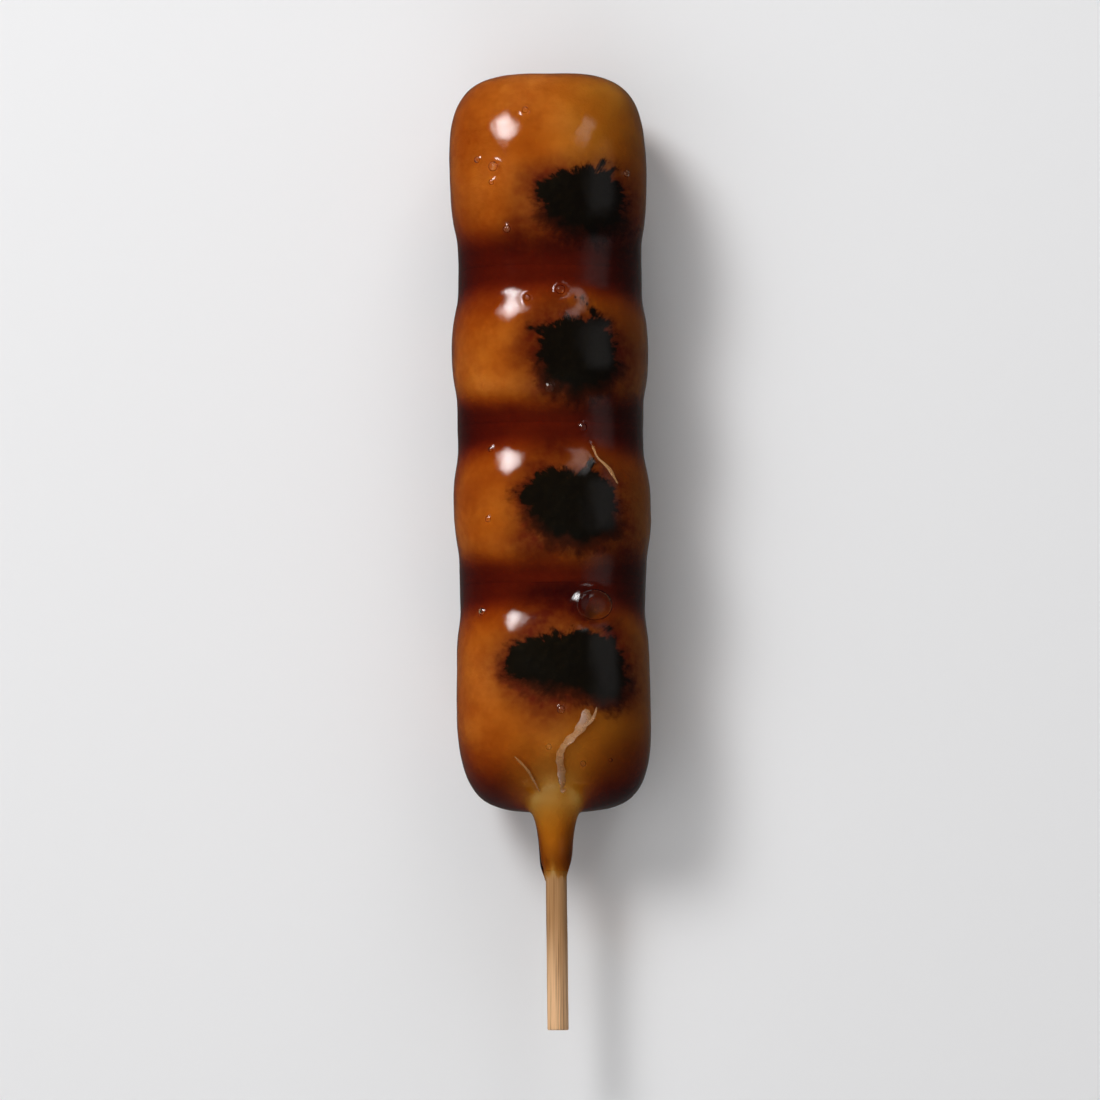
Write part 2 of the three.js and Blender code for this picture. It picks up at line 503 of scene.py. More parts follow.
def smooth_along(values: np.ndarray, passes: int) -> None:
    """Smooths values in place along their first axis, with both ends kept."""
    for _ in range(passes):
        values[1:-1] = (values[:-2] + 2 * values[1:-1] + values[2:]) / 4


@dataclass
class Profile:
    """Rings of a turned form, as a share of the section and a y at each ring and angle.

    Attributes:
        share: Shares of the section, as an array of (rings, sides).
        y: Places along the skewer, as an array of (rings, sides).
    """

    share: np.ndarray
    y: np.ndarray

    def spaced(self, step: float, scale: float) -> "Profile":
        """The same form with its rings evenly spaced.

        Args:
            step: The distance between the new rings.
            scale: Radius of a share of 1.

        Returns:
            The new profile, with both ends kept.
        """
        walked = np.hypot(np.diff(self.share, axis=0) * scale, np.diff(self.y, axis=0))
        length = np.concatenate([np.zeros((1, self.y.shape[1])), np.cumsum(walked, axis=0)])
        count = max(2, round(float(length[-1].mean()) / step) + 1)
        part = np.linspace(0.0, 1.0, count)
        columns = range(self.y.shape[1])
        share = [np.interp(part * length[-1, k], length[:, k], self.share[:, k]) for k in columns]
        y = [np.interp(part * length[-1, k], length[:, k], self.y[:, k]) for k in columns]
        return Profile(np.stack(share, axis=1), np.stack(y, axis=1))

    def then(self, other: "Profile") -> "Profile":
        """This form followed by another that starts where it ends."""
        share = np.concatenate([self.share, other.share[1:]])
        return Profile(share, np.concatenate([self.y, other.y[1:]]))

    def pointed(self) -> "Profile":
        """This form without its first ring, where a point closes it instead."""
        return Profile(self.share[1:], self.y[1:])

    def eased(self, passes: int) -> "Profile":
        """The same form with its corners rounded.

        Args:
            passes: How often each ring moves towards its neighbours' middle.

        Returns:
            The new profile, with both ends kept.
        """
        share, y = self.share.copy(), self.y.copy()
        for values in (share, y):
            smooth_along(values, passes)
        return Profile(share, y)


def rounded_end(place: Place, reach: np.ndarray, exponent: np.ndarray, lip: np.ndarray) -> Profile:
    """A dumpling's handle end, from its middle to where the sauce on the stick leaves it.

    Args:
        place: Where the dumpling lies.
        reach: How far the end reaches from its middle, at each angle.
        exponent: How square it is there.
        lip: Share of the section where it stops.

    Returns:
        The profile.
    """
    last_turn = np.arctan2(superellipse(lip, exponent), lip)
    turns = np.linspace(0.0, 1.0, ARC_POINTS)[:, None] * last_turn
    share, along = quadrant(turns, reach, exponent)
    return Profile(share, place.middle - along)


def outwards(angle: float) -> np.ndarray:
    """The way out from the stick at an angle round it."""
    return np.array([math.cos(angle), 0.0, math.sin(angle)])


def ring_angles(sides: int) -> np.ndarray:
    """Evenly spaced angles round the stick, as an array of (1, sides)."""
    return (np.arange(sides) * (2.0 * math.pi / sides))[None, :]


def ring_normals(rings: np.ndarray) -> np.ndarray:
    """Outward unit normals of rings that follow each other towards the handle.

    Args:
        rings: The rings, as an array of (rings, sides, 3).

    Returns:
        A normal at each point, in the same shape.
    """
    along = np.gradient(rings, axis=0)
    around = np.roll(rings, -1, axis=1) - np.roll(rings, 1, axis=1)
    normals = np.cross(around, along)
    return normals / np.maximum(np.linalg.norm(normals, axis=-1, keepdims=True), 1e-12)


def ring_faces(count: int, sides: int, closed: bool) -> Faces:
    """Faces of a closed surface made of rings.

    Args:
        count: How many rings there are.
        sides: How many points each ring has.
        closed: True if the last ring joins the first. Otherwise a point closes each end, and
            these two points follow the rings' own.

    Returns:
        The faces as tuples of point numbers, all facing out.
    """
    faces: Faces = []
    for j in range(count if closed else count - 1):
        a, b = j * sides, (j + 1) % count * sides
        faces += [(a + k, a + (k + 1) % sides, b + (k + 1) % sides, b + k) for k in range(sides)]
    if not closed:
        first, last, end = count * sides, count * sides + 1, (count - 1) * sides
        faces += [(first, (k + 1) % sides, k) for k in range(sides)]
        faces += [(last, end + k, end + (k + 1) % sides) for k in range(sides)]
    return faces


def capped(rings: np.ndarray, ends: np.ndarray) -> tuple[np.ndarray, Faces]:
    """Points and faces of a closed surface: rings, and a point at each of its two ends."""
    points = np.concatenate([rings.reshape(-1, 3), ends])
    return points, ring_faces(len(rings), rings.shape[1], closed=False)


def make_piece(
    name: str, points: np.ndarray, faces: Faces, values: dict[str, np.ndarray] | None = None
) -> bpy.types.Object:
    """A smooth-shaded mesh object in the scene.

    Args:
        name: The piece's name.
        points: Its points, as an array of (n, 3).
        faces: Its faces as tuples of point numbers.
        values: One number for each point under each attribute's name.

    Returns:
        The new object.
    """
    mesh = bpy.data.meshes.new(name)
    mesh.from_pydata([tuple(p) for p in points], [], faces)
    mesh.shade_smooth()
    for key, numbers in (values or {}).items():
        attribute = mesh.attributes.new(key, "FLOAT", "POINT")
        attribute.data.foreach_set("value", numbers.astype(np.float32).ravel())
    mesh.update()
    piece = bpy.data.objects.new(name, mesh)
    bpy.context.scene.collection.objects.link(piece)
    return piece


def mount_piece(
    piece: bpy.types.Object, material: bpy.types.Material, slot: Slot, *nodes: str
) -> None:
    """Gives a piece its finish and lets it ride with the part, in place of its nodes.

    Args:
        piece: The piece.
        material: Its finish.
        slot: Its material slot. It is not used.
        nodes: The nodes that it stands for.
    """
    piece.data.materials.append(material)
    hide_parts(*nodes)
    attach(piece, BODY)
    LOG.info("%s: %d points, for %s", piece.name, len(piece.data.vertices), ", ".join(nodes))


# ---- material nodes


class NodeSketch:
    """Adds nodes to one tree and joins them."""

    def __init__(self, tree: bpy.types.NodeTree) -> None:
        """Starts on a tree and empties it."""
        self.tree = tree
        tree.nodes.clear()

    def add(
        self, kind: str, inputs: dict[str | int, object] | None = None, **settings: object
    ) -> bpy.types.Node:
        """A new node with its inputs and settings.

        Args:
            kind: Blender's name for the kind of node.
            inputs: Another node's output or a constant for each input, by its name or number.
            settings: The node's own settings.

        Returns:
            The node.
        """
        node = self.tree.nodes.new(kind)
        for key, value in settings.items():
            setattr(node, key, value)
        for key, value in (inputs or {}).items():
            if isinstance(value, Socket):
                self.tree.links.new(value, node.inputs[key])
            else:
                node.inputs[key].default_value = value
        return node

    def math(self, operation: str, *values: object, clamp: bool = False) -> Socket:
        """The result of one step of arithmetic, kept within 0 and 1 if clamp is True."""
        inputs = dict(enumerate(values))
        return self.add("ShaderNodeMath", inputs, operation=operation, use_clamp=clamp).outputs[0]

    def noise(
        self, vector: object, scale: object, detail: float = 2.0, roughness: float = 0.5
    ) -> Socket:
        """Soft noise from 0 to 1 at a place, with its lumps to a metre and its finer layers."""
        inputs = {"Vector": vector, "Scale": scale, "Detail": detail, "Roughness": roughness}
        return self.add("ShaderNodeTexNoise", inputs).outputs["Fac"]

    def ease(
        self, value: object, low: float, high: float, to_low: float = 0.0, to_high: float = 1.0
    ) -> Socket:
        """Eases a value from one range to another.

        Args:
            value: The value.
            low: Where it starts to change.
            high: Where it has changed.
            to_low: The result up to low.
            to_high: The result from high on.

        Returns:
            The eased value.
        """
        inputs = {"Value": value, "From Min": low, "From Max": high}
        inputs |= {"To Min": to_low, "To Max": to_high}
        node = self.add("ShaderNodeMapRange", inputs, interpolation_type="SMOOTHSTEP")
        return node.outputs["Result"]

    def blend(self, share: object, first: object, second: object) -> Socket:
        """A colour between two others, the first at a share of 0 and the second at 1."""
        # By number, because the node's colour sockets share their names with others.
        inputs = {"Factor": share, 6: first, 7: second}
        return self.add("ShaderNodeMix", inputs, data_type="RGBA").outputs[2]

    def attribute(self, name: str) -> Socket:
        """A number that the mesh holds at each point."""
        return self.add("ShaderNodeAttribute", attribute_name=name).outputs["Fac"]

    def place(self) -> Socket:
        """Place in the object's own frame, in metres."""
        return self.add("ShaderNodeTexCoord").outputs["Object"]

    def split(self, vector: object) -> bpy.types.NodeOutputs:
        """The outputs X, Y and Z of a place."""
        return self.add("ShaderNodeSeparateXYZ", {0: vector}).outputs

    def join(self, *parts: object) -> Socket:
        """A place from its X, Y and Z."""
        return self.add("ShaderNodeCombineXYZ", dict(enumerate(parts))).outputs[0]

    def stretched(self, vector: object, factors: Triple) -> Socket:
        """A place with each axis scaled by its own factor."""
        inputs = {0: vector, 1: factors}
        return self.add("ShaderNodeVectorMath", inputs, operation="MULTIPLY").outputs[0]

    def bump(self, height: object, depth: float, strength: float = 1.0) -> Socket:
        """A normal from a height, of which 1 stands for depth in metres."""
        inputs = {"Height": height, "Distance": depth, "Strength": strength}
        return self.add("ShaderNodeBump", inputs).outputs["Normal"]

    def surface(self, inputs: dict[str, object]) -> None:
        """Gives a material the one surface that has these inputs."""
        shader = self.add("ShaderNodeBsdfPrincipled", inputs)
        self.add("ShaderNodeOutputMaterial", {"Surface": shader.outputs[0]})


@dataclass(frozen=True)
class Mottling:
    """How the shared mottling shows in one finish.

    Attributes:
        scale: Lumps to a metre.
        contrast: How strong it is.
    """

    scale: float
    contrast: float


def mottle_group() -> bpy.types.NodeTree:
    """The soft mottling that rice, the pale threads, sauce and bamboo share, built once.

    Returns:
        A node group that takes a place, a scale and a contrast, and gives a value about 0.5.
    """
    name = "soft_mottle"
    if name in bpy.data.node_groups:
        return bpy.data.node_groups[name]
    tree = bpy.data.node_groups.new(name, "ShaderNodeTree")
    tree.interface.new_socket("Place", in_out="INPUT", socket_type="NodeSocketVector")
    for key in ("Scale", "Contrast"):
        tree.interface.new_socket(key, in_out="INPUT", socket_type="NodeSocketFloat")
    tree.interface.new_socket("Value", in_out="OUTPUT", socket_type="NodeSocketFloat")
    fineness, fine_share, middle = 4.3, 0.35, 0.5
    sketch = NodeSketch(tree)
    given = sketch.add("NodeGroupInput").outputs
    coarse = sketch.noise(given["Place"], given["Scale"], detail=3.0, roughness=0.55)
    fine_scale = sketch.math("MULTIPLY", given["Scale"], fineness)
    fine = sketch.noise(given["Place"], fine_scale)
    coarse_part = sketch.math("MULTIPLY", coarse, 1.0 - fine_share)
    mixed = sketch.math("MULTIPLY_ADD", fine, fine_share, coarse_part)
    centred = sketch.math("SUBTRACT", mixed, middle)
    value = sketch.math("MULTIPLY_ADD", centred, given["Contrast"], middle, clamp=True)
    sketch.add("NodeGroupOutput", {"Value": value})
    return tree


def mottle(sketch: NodeSketch, vector: object, mottling: Mottling) -> Socket:
    """A value about 0.5 from the shared mottling, at a place in a material."""
    inputs = {"Place": vector, "Scale": mottling.scale, "Contrast": mottling.contrast}
    return sketch.add("ShaderNodeGroup", inputs, node_tree=mottle_group()).outputs["Value"]


def new_material(name: str) -> tuple[bpy.types.Material, NodeSketch]:
    """An empty node material and the sketch that fills it.

    Args:
        name: Its name.

    Returns:
        The material and its sketch.
    """
    material = bpy.data.materials.new(name)
    material.use_nodes = True
    return material, NodeSketch(material.node_tree)


@dataclass(frozen=True)
class BurntEdge:
    """How the edge of a grill mark breaks up. Its distances are millimetres inside the mark.

    Towards the handle the edge fades softly, and on the other sides it breaks up into tongues.

    Attributes:
        feather: Reach of the burnt tongues.
        tongues: How densely they stand round the mark.
        swerve: How much they swerve for each millimetre outwards.
        clump: Reach of the burnt lumps.
        clump_scale: Lumps to a metre.
        crisp: Distances over which the tongues turn black.
        soft: Distances over which the soft side does.
        soft_side: Shares of the way towards the handle between which the soft side takes over.
        toasted: Distances over which the toasted rim comes in.
        toast_shift: How much nearer to the middle the rim stays towards the tip.
    """

    feather: float = 2.4
    tongues: float = 11.0
    swerve: float = 0.08
    clump: float = 2.6
    clump_scale: float = 650.0
    crisp: Range = (-0.45, 0.35)
    soft: Range = (-2.0, 1.0)
    soft_side: Range = (0.0, -0.6)
    toasted: Range = (-1.9, 0.2)
    toast_shift: float = 0.9

    def masks(self, sketch: NodeSketch, place: Socket) -> tuple[Socket, Socket]:
        """Masks of the toasted rim and of the burnt crust.

        Args:
            sketch: The material's nodes.
            place: Place in the object's own frame.

        Returns:
            Both masks.
        """
        inside = sketch.attribute("char_edge")
        across, along = sketch.attribute("mark_across"), sketch.attribute("mark_along")
        ray = sketch.join(across, along, sketch.math("MULTIPLY", inside, self.swerve))
        tongues = sketch.noise(ray, self.tongues, detail=3.0, roughness=0.6)
        streaks = sketch.math("SUBTRACT", tongues, 0.5)
        lumps = sketch.noise(place, self.clump_scale, detail=3.0, roughness=0.6)
        clumps = sketch.math("SUBTRACT", lumps, 0.5)
        clumpy = sketch.math("MULTIPLY_ADD", clumps, self.clump, inside)
        feather = sketch.math("MULTIPLY_ADD", streaks, self.feather, clumpy)
        crisp = sketch.ease(feather, *self.crisp)
        soft = sketch.ease(clumpy, *self.soft)
        char = sketch.blend(sketch.ease(along, *self.soft_side), crisp, soft)
        rim = sketch.math("MULTIPLY_ADD", along, -self.toast_shift, feather)
        return sketch.ease(rim, *self.toasted), char


@dataclass(frozen=True)
class RiceFinish:
    """Steamed rice dough that was grilled and then lay in the sauce.

    Attributes:
        plain: Colour of the stained dough.
        warm: Colour of its warmer patches.
        shaded_side: Olive colour towards +X, painted shade for the side away from the key light.
        soaked: Colour where it lay deep in the sauce.
        drawn: Lighter colour on the dough drawn out along the stick, painted light where the last
            dumpling's end shades it.
        thinned: Darker colour at the end of that dough, where it thins out and the painted light
            stops.
        browned_and_shaded: Colour of the dough turned brown round a grill mark; towards +X and the
            handle it is painted shade.
        toast: Colour at the edge of a grill mark.
        char: Colour of the burnt crust.
        patches: Mottling of the warmer patches.
        clouds: Mottling of the wide, faintly soaked clouds.
        warm_range: Values of the patches over which the warm colour comes in.
        cloud_range: Values of the clouds over which the soaked colour comes in.
        cloud_share: How much of it comes in there.
        shaded_side_range: Places across between which that painted shade comes in.
        shaded_side_share: How much of it comes in.
        soak_range: Depths of sauce over which the soaked colour comes in, in millimetres.
        skirt_light_range: Places along Y between which that painted light comes in.
        skirt_light_reach: How far it reaches to either side of the stick.
        skirt_light_core: Share of that reach where it is full.
        thin_range: Places along Y between which the thinned colour comes in.
        uneven_brown_and_shade: How much of that colour the weakest patch takes, and how much more
            the strongest.
        patch_range: Values of the smoothest and of the roughest patches.
        roughness: Roughness of the dough in them.
        index: Index of refraction between sauce and dough.
        glow: How much of the light spreads inside the dough.
        glow_reach: How far it spreads there.
        glow_spread: Shares of that reach for red, green and blue light.
        pit_scale: Fine pits to a metre.
        pit_depth: Their depth.
        edge: How the grill marks' edges break up.
    """

    plain: Colour = (0.71, 0.325, 0.10, 1.0)
    warm: Colour = (0.60, 0.24, 0.075, 1.0)
    # Painted shade: an olive tone for the +X side, away from the key light.
    shaded_side: Colour = (0.56, 0.40, 0.14, 1.0)
    soaked: Colour = (0.40, 0.13, 0.05, 1.0)
    # Painted light on the drawn-out dough, which the last dumpling's end shades.
    drawn: Colour = (1.0, 0.68, 0.28, 1.0)
    thinned: Colour = (0.45, 0.21, 0.04, 1.0)
    # Brown dough round the grill marks, and painted shade towards +X and the handle of each.
    browned_and_shaded: Colour = (0.18, 0.03, 0.022, 1.0)
    toast: Colour = (0.10, 0.022, 0.012, 1.0)
    char: Colour = (0.004, 0.0035, 0.003, 1.0)
    patches: Mottling = Mottling(200.0, 1.6)
    clouds: Mottling = Mottling(75.0, 1.8)
    warm_range: Range = (0.3, 0.75)
    cloud_range: Range = (0.45, 0.85)
    cloud_share: float = 0.3
    shaded_side_range: Range = (-3.0 * MM, 10.0 * MM)
    shaded_side_share: float = 0.8
    soak_range: Range = (0.9, 3.2)
    skirt_light_range: Range = (-23.0 * MM, -36.5 * MM)
    skirt_light_reach: float = 8.0 * MM
    skirt_light_core: float = 0.45
    thin_range: Range = (-40.5 * MM, -44.5 * MM)
    uneven_brown_and_shade: Range = (0.55, 0.9)
    patch_range: Range = (0.2, 0.8)
    roughness: Range = (0.42, 0.58)
    index: float = 1.12
    glow: float = 0.25
    glow_reach: float = 1.6 * MM
    glow_spread: Triple = (1.0, 0.55, 0.3)
    pit_scale: float = 2400.0
    pit_depth: float = 0.08 * MM
    edge: BurntEdge = BurntEdge()

    def build(self) -> bpy.types.Material:
        """The material of the dumplings.

        Returns:
            The material.
        """
        material, sketch = new_material("grilled_rice")
        place = sketch.place()
        patches = mottle(sketch, place, self.patches)
        clouds = mottle(sketch, place, self.clouds)
        colour = self.dough(sketch, place, patches, clouds)
        colour = self.paint_skirt_light(sketch, place, colour)
        least, more = self.uneven_brown_and_shade
        uneven = sketch.math("MULTIPLY_ADD", patches, more, least)
        # Brown dough round the grill marks, and painted shade towards +X and the handle of each
        # crust.
        browned_and_shaded = sketch.math("MULTIPLY", sketch.attribute("browning_and_shade"), uneven, clamp=True)
        colour = sketch.blend(browned_and_shaded, colour, self.browned_and_shaded)
        toast, char = self.edge.masks(sketch, place)
        colour = sketch.blend(toast, colour, self.toast)
        colour = sketch.blend(char, colour, self.char)
        pits = sketch.noise(place, self.pit_scale, detail=3.0, roughness=0.6)
        sketch.surface(
            {
                "Base Color": colour,
                "Roughness": sketch.ease(patches, *self.patch_range, *self.roughness),
                "IOR": self.index,
                "Subsurface Weight": self.glow,
                "Subsurface Radius": self.glow_spread,
                "Subsurface Scale": self.glow_reach,
                "Normal": sketch.bump(pits, self.pit_depth),
            }
        )
        return material

    def dough(self, sketch: NodeSketch, place: Socket, patches: Socket, clouds: Socket) -> Socket:
        """Colour of the dough away from the grill marks.

        Args:
            sketch: The material's nodes.
            place: Place in the object's own frame.
            patches: The patches' mottling.
            clouds: The clouds' mottling.

        Returns:
            The colour.
        """
        colour = sketch.blend(sketch.ease(patches, *self.warm_range), self.plain, self.warm)
        cloudy = sketch.ease(clouds, *self.cloud_range, 0.0, self.cloud_share)
        colour = sketch.blend(cloudy, colour, self.soaked)
        across = sketch.split(place)["X"]
        # Painted shade: an olive tone towards +X, the side away from the key light.
        shaded_side = sketch.ease(across, *self.shaded_side_range, 0.0, self.shaded_side_share)
        colour = sketch.blend(shaded_side, colour, self.shaded_side)
        soak = sketch.ease(sketch.attribute("sauce_depth"), *self.soak_range)
        return sketch.blend(soak, colour, self.soaked)

    def paint_skirt_light(self, sketch: NodeSketch, place: Socket, colour: Socket) -> Socket:
        """Paints light on the dough drawn out along the stick, which the last dumpling's end
        shades.

        Args:
            sketch: The material's nodes.
            place: Place in the object's own frame.
            colour: Colour of the dough elsewhere.

        Returns:
            The colour.
        """
        spot = sketch.split(place)
        # Painted light: a lighter colour on the drawn-out dough, in the shade of the last
        # dumpling's end.
        drawn = sketch.ease(spot["Y"], *self.skirt_light_range)
        aside = sketch.math("ABSOLUTE", spot["X"])
        beside = sketch.ease(aside, self.skirt_light_reach, self.skirt_light_core * self.skirt_light_reach)
        colour = sketch.blend(sketch.math("MULTIPLY", drawn, beside), colour, self.drawn)
        thinned = sketch.ease(spot["Y"], *self.thin_range)
        return sketch.blend(thinned, colour, self.thinned)


@dataclass(frozen=True)
class RidgeHighlightFinish:
    """Pale threads in the sauce: painted highlights along its raised strings.

    Attributes:
        colour: Its colour.
        clouds: Mottling of its thicker and thinner parts.
        roughness: Its roughness.
        index: Index of refraction between sauce and thread.
        cloud_range: Values of its thinnest and of its thickest parts.
        cover: How much of what lies behind them they hide.
    """

    colour: Colour = (0.72, 0.50, 0.39, 1.0)
    clouds: Mottling = Mottling(360.0, 1.4)
    roughness: float = 0.5
    index: float = 1.12
    cloud_range: Range = (0.25, 0.75)
    cover: Range = (0.25, 0.52)

    def build(self) -> bpy.types.Material:
        """The material of the threads.

        Returns:
            The material.
        """
        # Painted highlight: pale, half-clear threads along the sauce's raised strings.
        material, sketch = new_material("painted_ridge_highlight")
        clouds = mottle(sketch, sketch.place(), self.clouds)
        sketch.surface(
            {
                "Base Color": self.colour,
                "Alpha": sketch.ease(clouds, *self.cloud_range, *self.cover),
                "Roughness": self.roughness,
                "IOR": self.index,
            }
        )
        return material


@dataclass(frozen=True)
class SauceFinish:
    """Clear sweet soy sauce, thickened and set. Its colour comes from its depth.

    Attributes:
        tint: What the surface itself lets through.
        depth_colour: What is left of white light, as the volume's colour.
        density: Strength of the volume, for each metre.
        index: Index of refraction.
        streaks: Mottling of its gloss.
        streak_range: Values of the glossiest and of the dullest streaks.
        roughness: Roughness of the wet surface in them.
        ripple_scale: Soft ripples to a metre.
        ripple_depth: Their depth.
        ripple_strength: How strongly they show.
    """

    tint: Colour = (1.0, 0.97, 0.92, 1.0)
    depth_colour: Colour = (0.81, 0.61, 0.05, 1.0)
    density: float = 2200.0
    index: float = 1.45
    streaks: Mottling = Mottling(180.0, 1.2)
    streak_range: Range = (0.2, 0.9)
    roughness: Range = (0.06, 0.12)
    ripple_scale: float = 330.0
    ripple_depth: float = 0.12 * MM
    ripple_strength: float = 0.6

    def build(self) -> bpy.types.Material:
        """The material of the sauce, which lets lamps shine through it without bending.

        Returns:
            The material.
        """
        material, sketch = new_material("soy_glaze")
        place = sketch.place()
        streaks = mottle(sketch, place, self.streaks)
        ripple = sketch.noise(place, self.ripple_scale)
        inputs = {
            "Base Color": self.tint,
            "Roughness": sketch.ease(streaks, *self.streak_range, *self.roughness),
            "IOR": self.index,
            "Transmission Weight": 1.0,
            "Normal": sketch.bump(ripple, self.ripple_depth, self.ripple_strength),
        }
        wet = sketch.add("ShaderNodeBsdfPrincipled", inputs).outputs[0]
        clear = sketch.add("ShaderNodeBsdfTransparent").outputs[0]
        shadow = sketch.add("ShaderNodeLightPath").outputs["Is Shadow Ray"]
        mix = sketch.add("ShaderNodeMixShader", {0: shadow, 1: wet, 2: clear})
        inputs = {"Color": self.depth_colour, "Density": self.density}
        volume = sketch.add("ShaderNodeVolumeAbsorption", inputs)
        inputs = {"Surface": mix.outputs[0], "Volume": volume.outputs[0]}
        sketch.add("ShaderNodeOutputMaterial", inputs)
        return material


@dataclass(frozen=True)
class BambooFinish:
    """Plain turned bamboo, darker where the sauce has crept along it.

    Attributes:
        pale: Colour of the dry wood.
        fibre: Colour of its darker fibres.
        wet: Colour where sauce has soaked in.
        coated: Colour under the sauce itself.
        fibre_scale: Fibres to a metre, across the stick.
        fibre_stretch: How much slower they change along it.
        fibre_range: Values over which the fibres' colour comes in.
        bands: Mottling of the wider bands.
        band_stretch: How much slower these change along the stick.
        band_range: Values of the bands over which that colour comes in.
        band_share: How much of it the bands take.
        creep: How unevenly the sauce has crept.
        wet_range: Places along Y between which the wet colour comes in.
        wet_share: How much of it comes in.
        coat_edge: Where the sauce on the stick ends.
        coat_ease: Length over which the coated colour comes in there.
        roughness: Roughness of the dry and of the soaked wood.
        groove: Depth of the fibres' grooves.
    """

    pale: Colour = (0.80, 0.48, 0.25, 1.0)
    fibre: Colour = (0.24, 0.12, 0.045, 1.0)
    wet: Colour = (0.34, 0.16, 0.05, 1.0)
    coated: Colour = (0.42, 0.22, 0.05, 1.0)
    fibre_scale: float = 3600.0
    fibre_stretch: float = 0.014
    fibre_range: Range = (0.42, 0.72)
    bands: Mottling = Mottling(900.0, 1.8)
    band_stretch: float = 0.03
    band_range: Range = (0.45, 0.9)
    band_share: float = 0.5
    creep: float = 5.0 * MM
    wet_range: Range = (-62.0 * MM, -48.0 * MM)
    wet_share: float = 0.75
    coat_edge: float = -46.6 * MM
    coat_ease: float = 1.6 * MM
    roughness: Range = (0.62, 0.34)
    groove: float = 0.05 * MM

    def build(self) -> bpy.types.Material:
        """The material of the stick.

        Returns:
            The material.
        """
        material, sketch = new_material("turned_bamboo")
        place = sketch.place()
        lengthwise = sketch.stretched(place, (1.0, self.fibre_stretch, 1.0))
        fibres = sketch.noise(lengthwise, self.fibre_scale, detail=3.0, roughness=0.65)
        banded = sketch.stretched(place, (1.0, self.band_stretch, 1.0))
        bands = mottle(sketch, banded, self.bands)
        colour = sketch.blend(sketch.ease(fibres, *self.fibre_range), self.pale, self.fibre)
        dark_bands = sketch.ease(bands, *self.band_range, 0.0, self.band_share)
        colour = sketch.blend(dark_bands, colour, self.fibre)
        along = sketch.split(place)["Y"]
        crept = sketch.math("MULTIPLY_ADD", bands, self.creep, along)
        soaked = sketch.ease(crept, *self.wet_range)
        colour = sketch.blend(soaked, colour, sketch.blend(self.wet_share, colour, self.wet))
        coat = sketch.ease(along, self.coat_edge, self.coat_edge + self.coat_ease)
        colour = sketch.blend(coat, colour, self.coated)
        sketch.surface(
            {
                "Base Color": colour,
                "Roughness": sketch.ease(soaked, 0.0, 1.0, *self.roughness),
                "Normal": sketch.bump(fibres, self.groove),
            }
        )
        return material


# ---- grill marks


@dataclass(frozen=True)
class Outline:
    """A smooth closed curve on top of a dumpling, as seen from above.

    Attributes:
        corners: Points that it runs through in millimetres, (across, along) from the middle.
    """

    corners: tuple[Point, ...]

    def curve(self, steps: int = 6) -> np.ndarray:
        """Points of the curve.

        Args:
            steps: How many there are from one corner to the next.

        Returns:
            The points in millimetres, as an array of (n, 2).
        """
        p = np.array(self.corners)
        before, after, later = np.roll(p, 1, axis=0), np.roll(p, -1, axis=0), np.roll(p, -2, axis=0)
        t = (np.arange(steps) / steps)[:, None, None]
        curve = 0.5 * (
            2 * p
            + (after - before) * t
            + (2 * before - 5 * p + 4 * after - later) * t**2
            + (3 * p - before - 3 * after + later) * t**3
        )
        return curve.transpose(1, 0, 2).reshape(-1, 2)

    def centre(self) -> np.ndarray:
        """The middle of the curve."""
        return self.curve().mean(axis=0)

    def depth(self, px: np.ndarray, py: np.ndarray) -> np.ndarray:
        """Distance inside the curve, negative outside it.

        Args:
            px: Places across, in millimetres.
            py: Places along, in millimetres.

        Returns:
            The distance in millimetres.
        """
        corners = self.curve()
        nearest = np.full(px.shape, np.inf)
        inside = np.zeros(px.shape, bool)
        for a, b in zip(corners, np.roll(corners, -1, axis=0)):
            nearest = np.minimum(nearest, gap_to_path(px, py, a, b)[0])
            crosses = (a[1] > py) != (b[1] > py)
            rise = b[1] - a[1]
            level = np.where(crosses, py - a[1], 0.0) / (rise if rise else 1.0)
            inside ^= crosses & (px < a[0] + level * (b[0] - a[0]))
        return np.where(inside, nearest, -nearest)


